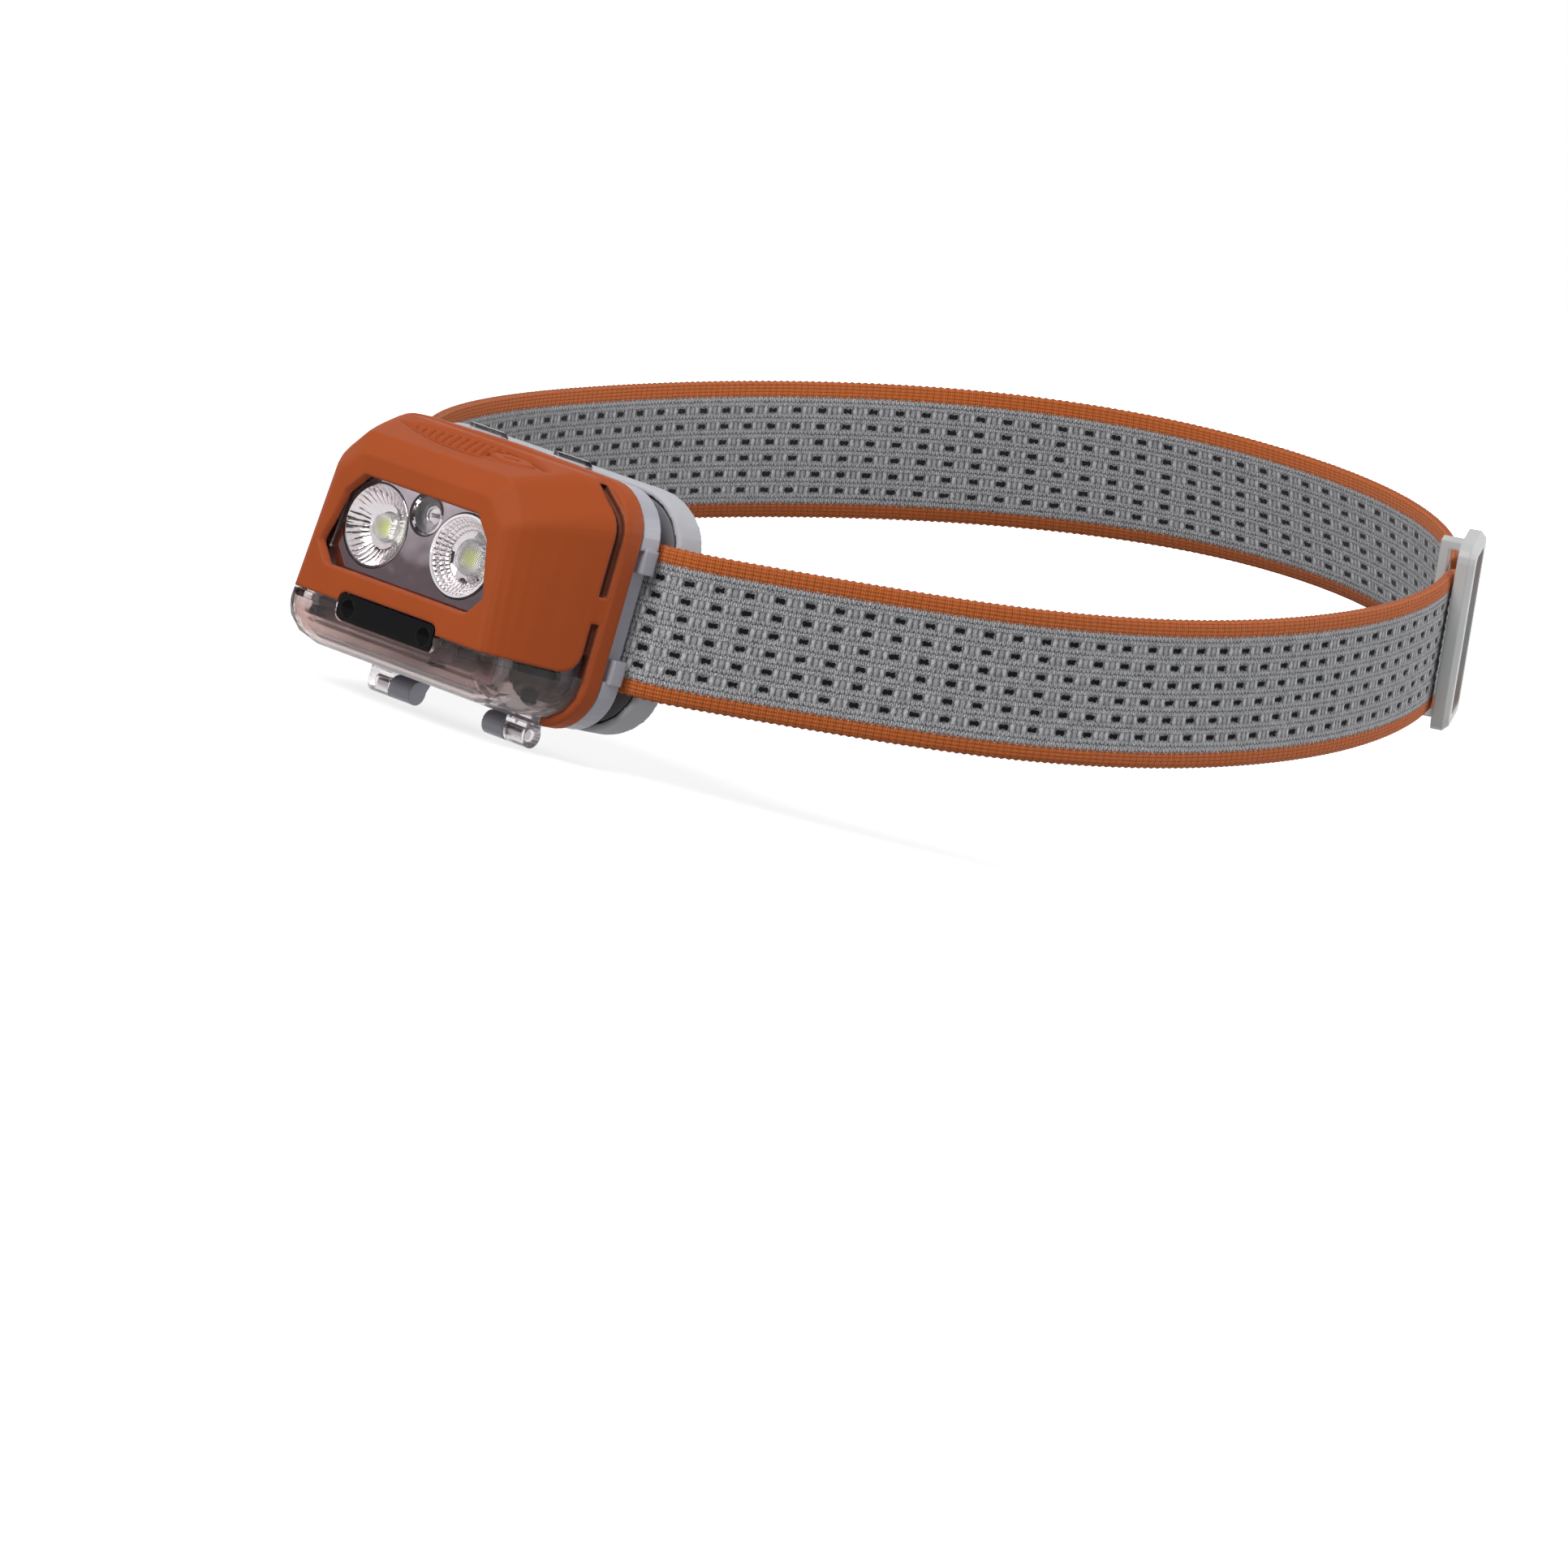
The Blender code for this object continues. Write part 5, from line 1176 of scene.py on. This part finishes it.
@dataclass
class KnitStrap(Assembly):
    """Knitted band: eyelets and ribs pressed into its outer side, scalloped edges."""

    width: float = 25.0 * MM
    thickness: float = 1.6 * MM
    plate_gap: float = 0.3 * MM
    eyelet_pitch: float = 5.0 * MM
    row_pitch: float = 2.9 * MM
    row_steps: int = 4
    scallop: float = 1.28 * MM
    scallop_depth: float = 0.22 * MM
    scallop_steps: int = 4
    scallop_zone: float = 0.3 * MM
    eyelet_depth: float = 0.75 * MM
    eyelet_half: tuple[float, float] = (0.9 * MM, 0.7 * MM)
    eyelet_flat: float = 1.35
    groove_depth: float = 0.16 * MM
    groove_half: float = 0.7 * MM
    edge_depth: float = 0.35 * MM
    edge_bend: tuple[float, float] = (11.0 * MM, 1.3 * MM)
    edge_margin: float = 0.1 * MM
    edge_from: float = 9.4 * MM
    inner_points: int = 7
    inner_share: float = 0.96
    rows_half: float = 3.0
    fold_rise: float = 2.7 * MM
    fold_half: float = 4.4 * MM

    def build(self, frame: Frame, looks: Looks) -> None:
        """Model the band on its route in place of its node."""
        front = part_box("back_plate")[0].y - self.plate_gap - self.thickness / 2
        self.places, self.outward, self.upward = StrapRoute(front).frames()
        closed = np.vstack((self.places, self.places[:1]))
        self.run = np.concatenate(((0.0,), np.cumsum(np.linalg.norm(np.diff(closed, axis=0), axis=1))))
        self.length = float(self.run[-1])
        self.eyelet_pitch = self.length / round(self.length / self.eyelet_pitch)
        self.scallop = self.length / round(self.length / self.scallop)
        low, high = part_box("strap_slider")
        reach = np.linalg.norm(self.places - np.array((low + high) / 2), axis=1)
        self.fold_at = float(self.run[int(np.argmin(reach))])
        self.section()
        band = self.band()
        knit = KnitFinish("strap_knit", self.eyelet_pitch, self.row_pitch, self.edge_from, rib=self.scallop)
        carry(band, knit.material(), Body.CARRIER, Slot.STRAP, "strap")

    def section(self) -> None:
        """Points round the band's section: across, outward, and whether they lie on the outer side."""
        step, half, flat = self.row_pitch / self.row_steps, self.width / 2, self.thickness / 2
        count = int((half - self.edge_margin) / step)
        outer = np.arange(count, -count - 1, -1) * step
        inner = np.linspace(-half * self.inner_share, half * self.inner_share, self.inner_points)
        rows = [(across, flat, 1.0) for across in outer] + [(-half, 0.0, 0.0)]
        rows += [(across, -flat, 0.0) for across in inner] + [(half, 0.0, 0.0)]
        self.across, self.out, self.facing = np.array(rows).T

    def band(self) -> Piece:
        """Grid wrapped into a tube round the section and along the route."""
        turns = round(self.length / self.scallop) * self.scallop_steps
        ring = len(self.across)
        piece = Bench.start(bpy.ops.mesh.primitive_grid_add, "knit_strap", x_subdivisions=turns,
                            y_subdivisions=ring, size=2.0)
        spots = Bench.points(piece)
        column = np.rint((spots[:, 0] + 1.0) / 2 * turns).astype(int)
        point = np.rint((spots[:, 1] + 1.0) / 2 * ring).astype(int) % ring
        along = column * self.length / turns
        Bench.shape(piece, self.wrapped(along, point))
        self.chart(piece, along, self.across[point])
        Bench.weld(piece)
        Bench.settle(piece, ALL_ROUND)
        return piece

    def wrapped(self, along: np.ndarray, point: np.ndarray) -> np.ndarray:
        """Places of the band's points.

        Args:
            along: metres along the band.
            point: index round the section.

        Returns:
            One row for each point.
        """
        across, out, facing = self.across[point], self.out[point], self.facing[point]
        bite = self.scallop_depth * (0.5 - 0.5 * np.cos(math.tau * along / self.scallop))
        across = across - np.sign(across) * bite * (np.abs(across) > self.width / 2 - self.scallop_zone)
        out = out - facing * self.pressed(along, across) + self.fold(along)
        place, outward, upward = (self.at(values, along) for values in
                                  (self.places, self.outward, self.upward))
        return place + unit(outward) * out[:, None] + unit(upward) * across[:, None]

    def fold(self, along: np.ndarray) -> np.ndarray:
        """Rise of the band where it folds over the slider's middle bar."""
        share = limit(np.abs(along - self.fold_at) / self.fold_half)
        return self.fold_rise * np.cos(share * math.pi / 2) ** 2

    def at(self, values: np.ndarray, along: np.ndarray) -> np.ndarray:
        """Values of the route's frames at distances along the band."""
        closed = np.vstack((values, values[:1]))
        return np.column_stack([np.interp(along, self.run, closed[:, axis]) for axis in range(3)])

    def pressed(self, along: np.ndarray, across: np.ndarray) -> np.ndarray:
        """Depth of the eyelets, of the grooves between their rows and of the rounded edges."""
        step = np.abs((along / self.eyelet_pitch + 0.5) % 1.0 - 0.5) * self.eyelet_pitch
        row = np.abs(across / self.row_pitch % 1.0 - 0.5) * self.row_pitch
        inside = np.abs(across) < self.rows_half * self.row_pitch
        long_half, wide_half = self.eyelet_half
        eyelet = limit(self.eyelet_flat - step / long_half) * limit(1.0 - row / wide_half)
        groove = limit(1.0 - (self.row_pitch / 2 - row) / self.groove_half)
        edge = limit((np.abs(across) - self.edge_bend[0]) / self.edge_bend[1]) ** 2
        body = np.where(inside, eyelet * self.eyelet_depth + groove * self.groove_depth, 0.0)
        return body + edge * self.edge_depth

    def chart(self, piece: Piece, along: np.ndarray, across: np.ndarray) -> None:
        """Write the band's map: metres along it and across it."""
        corners = np.empty(len(piece.data.loops), dtype=np.int32)
        piece.data.loops.foreach_get("vertex_index", corners)
        layer = piece.data.uv_layers[0]
        layer.data.foreach_set("uv", np.column_stack((along[corners], across[corners])).ravel())


@dataclass
class ChinInside(Assembly):
    """What shows through the clear chin: a pale carrier, a dark bulge at each side with a pale egg at its
    lower front that stands in for a painted highlight, and two small bosses.
    """

    screen: Place = (40.0 * MM, 0.16 * MM, 6.6 * MM)
    screen_at: Place = (0.0, -26.76 * MM, -12.6 * MM)
    bulge: Place = (3.1 * MM, 5.0 * MM, 5.0 * MM)
    bulge_at: Place = (22.3 * MM, -20.0 * MM, -12.4 * MM)
    # Pale egg at the bulge's lower front: a painted highlight on the dark bulge.
    highlight_egg: Place = (3.0 * MM, 4.2 * MM, 2.9 * MM)
    highlight_egg_at: Place = (20.6 * MM, -20.6 * MM, -15.4 * MM)
    boss_radius: float = 0.9 * MM
    boss_length: float = 2.4 * MM
    lip: float = 0.25 * MM
    tray_depth: float = 0.06 * MM
    flat_from: float = 0.6
    boss_step: tuple[float, float] = (0.4, 0.7)
    crisp: float = 60.0
    bosses: tuple[tuple[float, float], ...] = ((-18.85 * MM, -14.0 * MM), (9.2 * MM, -15.45 * MM))

    def build(self, frame: Frame, looks: Looks) -> None:
        """Model the carrier, then the painted-highlight eggs and the bulges of both sides, then the bosses.
        """
        dark = looks.pocket
        self.finish(self.tray(), looks.carrier, Slot.GREY)
        mirrored = Matrix.Scale(-1.0, 4, (1.0, 0.0, 0.0))
        for name, place, half, material, slot in (
                # The pale eggs stand in for a painted highlight on the dark bulges.
                ("chin_highlight_egg", self.highlight_egg_at, self.highlight_egg, looks.white, Slot.GREY),
                ("chin_bulge", self.bulge_at, self.bulge, dark, Slot.BLACK)):
            egg = self.egg(name + "_right", Vector(place), half)
            self.finish(egg, material, slot)
            self.finish(Bench.twin(egg, name + "_left", mirrored), material, slot)
        left, right = (Vector((x, 0.0, z)) for x, z in self.bosses)
        boss = self.boss("chin_boss_left", left)
        self.finish(boss, dark, Slot.BLACK)
        self.finish(Bench.twin(boss, "chin_boss_right", Matrix.Translation(right - left)), dark, Slot.BLACK)

    def tray(self) -> Piece:
        """Thin carrier whose front is pressed into a shallow tray."""
        piece = Bench.start(bpy.ops.mesh.primitive_cube_add, "chin_carrier", size=1.0,
                            location=self.screen_at, scale=self.screen)
        Bench.step_in(piece, self.lip, self.tray_depth)
        return piece

    def egg(self, name: str, place: Vector, half: Place) -> Piece:
        """Egg of the given half sizes at the chin's right, cut flat on its inner side."""
        piece = Bench.start(bpy.ops.mesh.primitive_uv_sphere_add, name, segments=40, ring_count=24,
                            radius=1.0, scale=half, location=place)
        with Bench.editing():
            Bench.cut(Vector((place.x - half[0] * self.flat_from, 0.0, 0.0)), Vector((-1.0, 0.0, 0.0)), True)
        return piece

    def boss(self, name: str, place: Vector) -> Piece:
        """Short tube that stands on the carrier's tray."""
        foot = self.screen_at[1] - self.screen[1] / 2 + self.tray_depth
        piece = Bench.start(bpy.ops.mesh.primitive_cylinder_add, name, vertices=24, radius=self.boss_radius,
                            depth=self.boss_length, rotation=TO_FRONT,
                            location=(place.x, foot - self.boss_length / 2, place.z))
        Bench.step_in(piece, self.boss_radius * self.boss_step[0], self.boss_length * self.boss_step[1])
        return piece

    def finish(self, piece: Piece, material: Material, slot: Slot) -> None:
        """Smooth and dress a piece."""
        Bench.settle(piece, self.crisp)
        carry(piece, material, Body.LAMP, slot)


class Looks:
    """Finishes that sub-assemblies share, and those of the nodes that keep their own shape."""

    def __init__(self) -> None:
        """Make the shared materials."""
        rubber: dict[str, Any] = {"colour": (0.45, 0.086, 0.019), "roughness": 0.62, "grain": 0.22 * MM,
                                  "depth": 0.010 * MM, "specular": 0.16}
        self.orange = MouldedFinish("soft_orange", edge=0.12 * MM, **rubber).material()
        self.cover = CoverWithSlotShade("cover_orange", edge=0.9 * MM, edge_lift=0.06, **rubber).material()
        self.smoke = ClearFinish("smoky_clear", (0.92, 0.90, 0.91), bend=1.2, low_tint=(0.76, 0.61, 0.58),
                                 low_blur=0.15, milk=0.03).material()
        self.lens = ClearFinish("clear_lens", (0.97, 0.97, 0.97)).material()
        self.dotted = ClearFinish("dotted_lens", (0.98, 0.98, 0.98), 0.01, 1.45, 0.42 * MM).material()
        self.mirror = MirrorFinish("mirror_coating", wave=0.02 * MM).material()
        self.carrier = CarrierFinish("pale_carrier", (0.50, 0.37, 0.365), 0.4).material()
        self.white = MouldedFinish("white_ceramic", (0.78, 0.76, 0.77), 0.3).material()
        self.pocket = MouldedFinish("dark_pocket", (0.014, 0.012, 0.013), 0.25, 0.6 * MM, 0.004 * MM,
                                    specular=0.2).material()
        self.foam = MouldedFinish("pad_foam", (0.58, 0.585, 0.62), 0.78, 0.30 * MM, 0.03 * MM).material()

    def dress_nodes(self, frame: Frame) -> None:
        """Dress every node that stays in view or shows through the clear shell."""
        low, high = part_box("ir_receiver")
        eye = (low + high) / 2
        rows: tuple[tuple[Material | Finish, str], ...] = (
            (self.cover, "front_cover"), (self.smoke, "clear_shell"), (self.mirror, "signal_collar"),
            (self.lens, "signal_led ir_emitter"),
            (ClearFinish("clear_back", (0.97, 0.93, 0.94), 0.10, 1.3, low_blur=0.1), "rear_cover"),
            (MirrorFinish("smoky_mirror", (0.72, 0.67, 0.70), wave=0.05 * MM), "reflector_plate"),
            (BoardFinish("led_board_mask", (0.62, 0.62, 0.64), (0.50, 0.50, 0.53)), "led_board"),
            (BoardFinish("sensor_board_mask", (0.20, 0.12, 0.10), (0.26, 0.17, 0.15)), "sensor_board"),
            (MouldedFinish("cell_wrap", (0.07, 0.075, 0.09), 0.35), "power_cell"),
            (SteelFinish("turned_steel"), "contact_left contact_right hinge_pin_left hinge_pin_right "
                                          "plate_screw_1 plate_screw_2 plate_screw_3 plate_screw_4"),
            (MouldedFinish("black_plastic", (0.02, 0.02, 0.02)), "tact_switch ir_receiver"),
            (MouldedFinish("seal_rubber", (0.03, 0.03, 0.03), 0.75), "rear_seal"),
            (MouldedFinish("bracket_grey", (0.47, 0.468, 0.53), 0.42, edge=0.5 * MM), "bracket"),
            (MouldedFinish("plate_grey", (0.19, 0.191, 0.205)), "back_plate"),
            (MouldedFinish("slider_grey", (0.62, 0.63, 0.625), 0.45, edge=0.5 * MM), "strap_slider"),
            (SensorFinish("sensor_black", eye.x, eye.z), "sensor_window"))
        for look, names in rows:
            material = look.material() if isinstance(look, Finish) else look
            for name in names.split():
                dress(frame["nodes"][name], material)
                LOG.info("%s dressed in %s", name, material.name)


class Tone(Enum):
    """Ways in which a studio card is shaded."""

    GRADED = "graded"
    RING = "ring"


def aimed(place: Place, target: Place) -> Matrix:
    """Place of something that looks along its own -Z at a target."""
    aim = Vector(target) - Vector(place)
    return Matrix.Translation(place) @ aim.to_track_quat("-Z", "Y").to_matrix().to_4x4()


@dataclass(frozen=True)
class Card(Finish):
    """Dark card, with its own glow, that only gloss and glass see."""

    place: Place
    size: tuple[float, float]
    tone: Tone
    dark: Colour = (0.030, 0.022, 0.020)
    pale: Colour = (0.86, 0.84, 0.86)
    bands: float = 6.0
    waver: float = 0.10
    grade: tuple[float, float] = (0.27, 0.25)
    ring: tuple[float, float] = (0.11, 0.10)
    target: Place = (0.0, -0.03, 0.0)

    def build(self) -> None:
        """Set the card up so that it faces the lamp."""
        card = Bench.start(bpy.ops.mesh.primitive_plane_add, self.name, size=1.0)
        card.matrix_world = aimed(self.place, self.target) @ Matrix.Diagonal((*self.size, 1.0, 1.0))
        dress(card, self.material())
        card.visible_camera = card.visible_diffuse = card.visible_shadow = False
        card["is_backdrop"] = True

    def coat(self, paint: Paint) -> None:
        """Glow that is pale towards the card's top, or in its middle."""
        side, up, _ = paint.axes(paint.place)
        if self.tone is Tone.RING:
            bright = 1.0 - ((side * side + up * up) ** 0.5).above(*self.ring)
        else:
            bright = (up + (side * self.bands).hump() * self.waver).above(*self.grade)
        paint.set({"Base Color": (0.0, 0.0, 0.0, 1.0), "Roughness": 1.0, "Specular IOR Level": 0.0,
                   "Emission Color": paint.mix(bright, self.dark, self.pale), "Emission Strength": 1.0})


@dataclass
class Studio:
    """Pale floor, soft light and the camera."""

    azimuth: float = math.radians(39.78)
    elevation: float = math.radians(4.99)
    roll: float = math.radians(16.1)
    distance: float = 1.5
    target: Place = (0.0, -13.5 * MM, 0.0)
    offset: tuple[float, float] = (48.34 * MM, -34.78 * MM)
    image_width: float = 1932.0
    focal_pixels: float = 11475.0
    sensor: float = 36.0
    nearest: float = 0.05
    fill: float = 0.30
    light_target: Place = (0.03, 0.03, 0.0)
    floor_size: float = 12.0
    floor_gap: float = 0.3 * MM
    floor_speck: float = 0.4
    floor_light: float = 2.0
    floor_colours: tuple[Colour, Colour] = ((0.86, 0.86, 0.87), (0.89, 0.89, 0.90))
    floor_glow: float = 0.37
    floor_near: float = 0.45
    floor_far: float = 1.3
    lights: tuple[tuple[str, Place, float, float], ...] = (
        ("key", (0.20, -1.22, 1.00), 0.7, 16.3), ("rear_side", (0.35, 0.55, 0.20), 0.3, 1.5))
    cards: tuple[Card, ...] = (
        Card("low_flag", (-0.130, -0.186, -0.022), (0.12, 0.06), Tone.GRADED, (0.20, 0.165, 0.175)),
        Card("front_flag", (0.20, -0.24, 0.01), (0.30, 0.24), Tone.RING),
        Card("high_flag", (-0.17, -0.13, 0.20), (0.20, 0.12), Tone.GRADED),
        Card("foot_flag", (-0.16, -0.08, -0.19), (0.18, 0.14), Tone.GRADED))

    def build(self) -> None:
        """Set up everything round the object."""
        scene = bpy.context.scene
        scene.view_settings.view_transform = "Standard"
        self.world(scene)
        self.floor()
        for name, place, size, power in self.lights:
            light = bpy.data.lights.new(name, "AREA")
            light.size, light.energy = size, power
            self.put(scene, name, light, aimed(place, self.light_target))
        for card in self.cards:
            card.build()
        self.camera(scene)

    def put(self, scene: bpy.types.Scene, name: str, data: bpy.types.ID, place: Matrix) -> Piece:
        """Object of that name and data, at a place in the scene."""
        made = bpy.data.objects.new(name, data)
        made.matrix_world = place
        scene.collection.objects.link(made)
        return made

    def direct(self, graph: Graph) -> Wire:
        """1 for rays that show the background: from the camera, off gloss and through glass."""
        path = graph.node("LightPath", output="Is Camera Ray")
        shown = path + path.beside("Is Glossy Ray") + path.beside("Is Transmission Ray")
        return path.math("MINIMUM", shown, 1.0)

    def world(self, scene: bpy.types.Scene) -> None:
        """White world: full white where it shows, softer as light."""
        scene.world = bpy.data.worlds.new("white_studio")
        scene.world.use_nodes = True
        graph = Graph(scene.world.node_tree)
        back = scene.world.node_tree.nodes["Background"]
        back.inputs["Color"].default_value = (1.0, 1.0, 1.0, 1.0)
        graph.feed(back.inputs["Strength"], self.direct(graph) * (1.0 - self.fill) + self.fill)

    def floor(self) -> None:
        """Wide pale floor under the lowest point, which glows brighter with distance."""
        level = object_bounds()[0][2] - self.floor_gap
        floor = Bench.start(bpy.ops.mesh.primitive_plane_add, "pale_floor", size=self.floor_size)
        floor.location.z = level
        paint = Paint("pale_floor")
        speck = paint.noise(paint.place, self.floor_speck)
        paint.set({"Base Color": paint.mix(speck, *self.floor_colours), "Roughness": 0.9,
                   "Specular IOR Level": 0.1})
        glow = paint.node("Emission", {"Strength": self.floor_light})
        x, y, _ = paint.axes(paint.place)
        middle = (self.floor_near + self.floor_far) / 2
        far = ((x * x + y * y) ** 0.5).above(middle, self.floor_far - self.floor_near)
        bright = self.floor_glow + far * (1.0 - self.floor_glow)
        paint.surface(paint.blend(self.direct(paint) * bright, paint.look, glow))
        dress(floor, paint.material)
        floor.visible_glossy = floor.visible_diffuse = False
        floor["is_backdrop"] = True

    def camera(self, scene: bpy.types.Scene) -> None:
        """Camera at the photograph's angle, rolled, with no shift."""
        back = Vector((math.cos(self.elevation) * math.sin(self.azimuth),
                       -math.cos(self.elevation) * math.cos(self.azimuth), math.sin(self.elevation)))
        level = Vector((math.cos(self.azimuth), math.sin(self.azimuth), 0.0))
        right = level * math.cos(self.roll) + back.cross(level) * math.sin(self.roll)
        up = back.cross(right)
        place = Vector(self.target) + right * self.offset[0] + up * self.offset[1] + back * self.distance
        data = bpy.data.cameras.new("photo_camera")
        data.sensor_width = self.sensor
        data.lens = self.focal_pixels / self.image_width * self.sensor
        data.clip_start = self.nearest
        turn = Matrix((right, up, back)).transposed().to_4x4()
        scene.camera = self.put(scene, "photo_camera", data, Matrix.Translation(place) @ turn)


def main() -> None:
    """Load the frame, build each sub-assembly and set up the studio."""
    logging.basicConfig(level=logging.INFO, format="%(name)s: %(message)s")
    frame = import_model()
    looks = Looks()
    looks.dress_nodes(frame)
    assemblies: tuple[Assembly, ...] = (
        ReflectorBowl(Beam.SPOT, flutes=40, flute_depth=0.10 * MM, lens_radius=2.25 * MM),
        ReflectorBowl(Beam.FLOOD, flutes=46, flute_depth=0.22 * MM, lens_radius=3.0 * MM, tiers=3,
                      smooth_share=0.5, rings=40, columns=8),
        SignalEye(), PaneWire(), RoofButton(), ForeheadPad(), KnitStrap(), ChinInside())
    for assembly in assemblies:
        assembly.build(frame, looks)
    Studio().build()


if __name__ == "__main__":
    main()
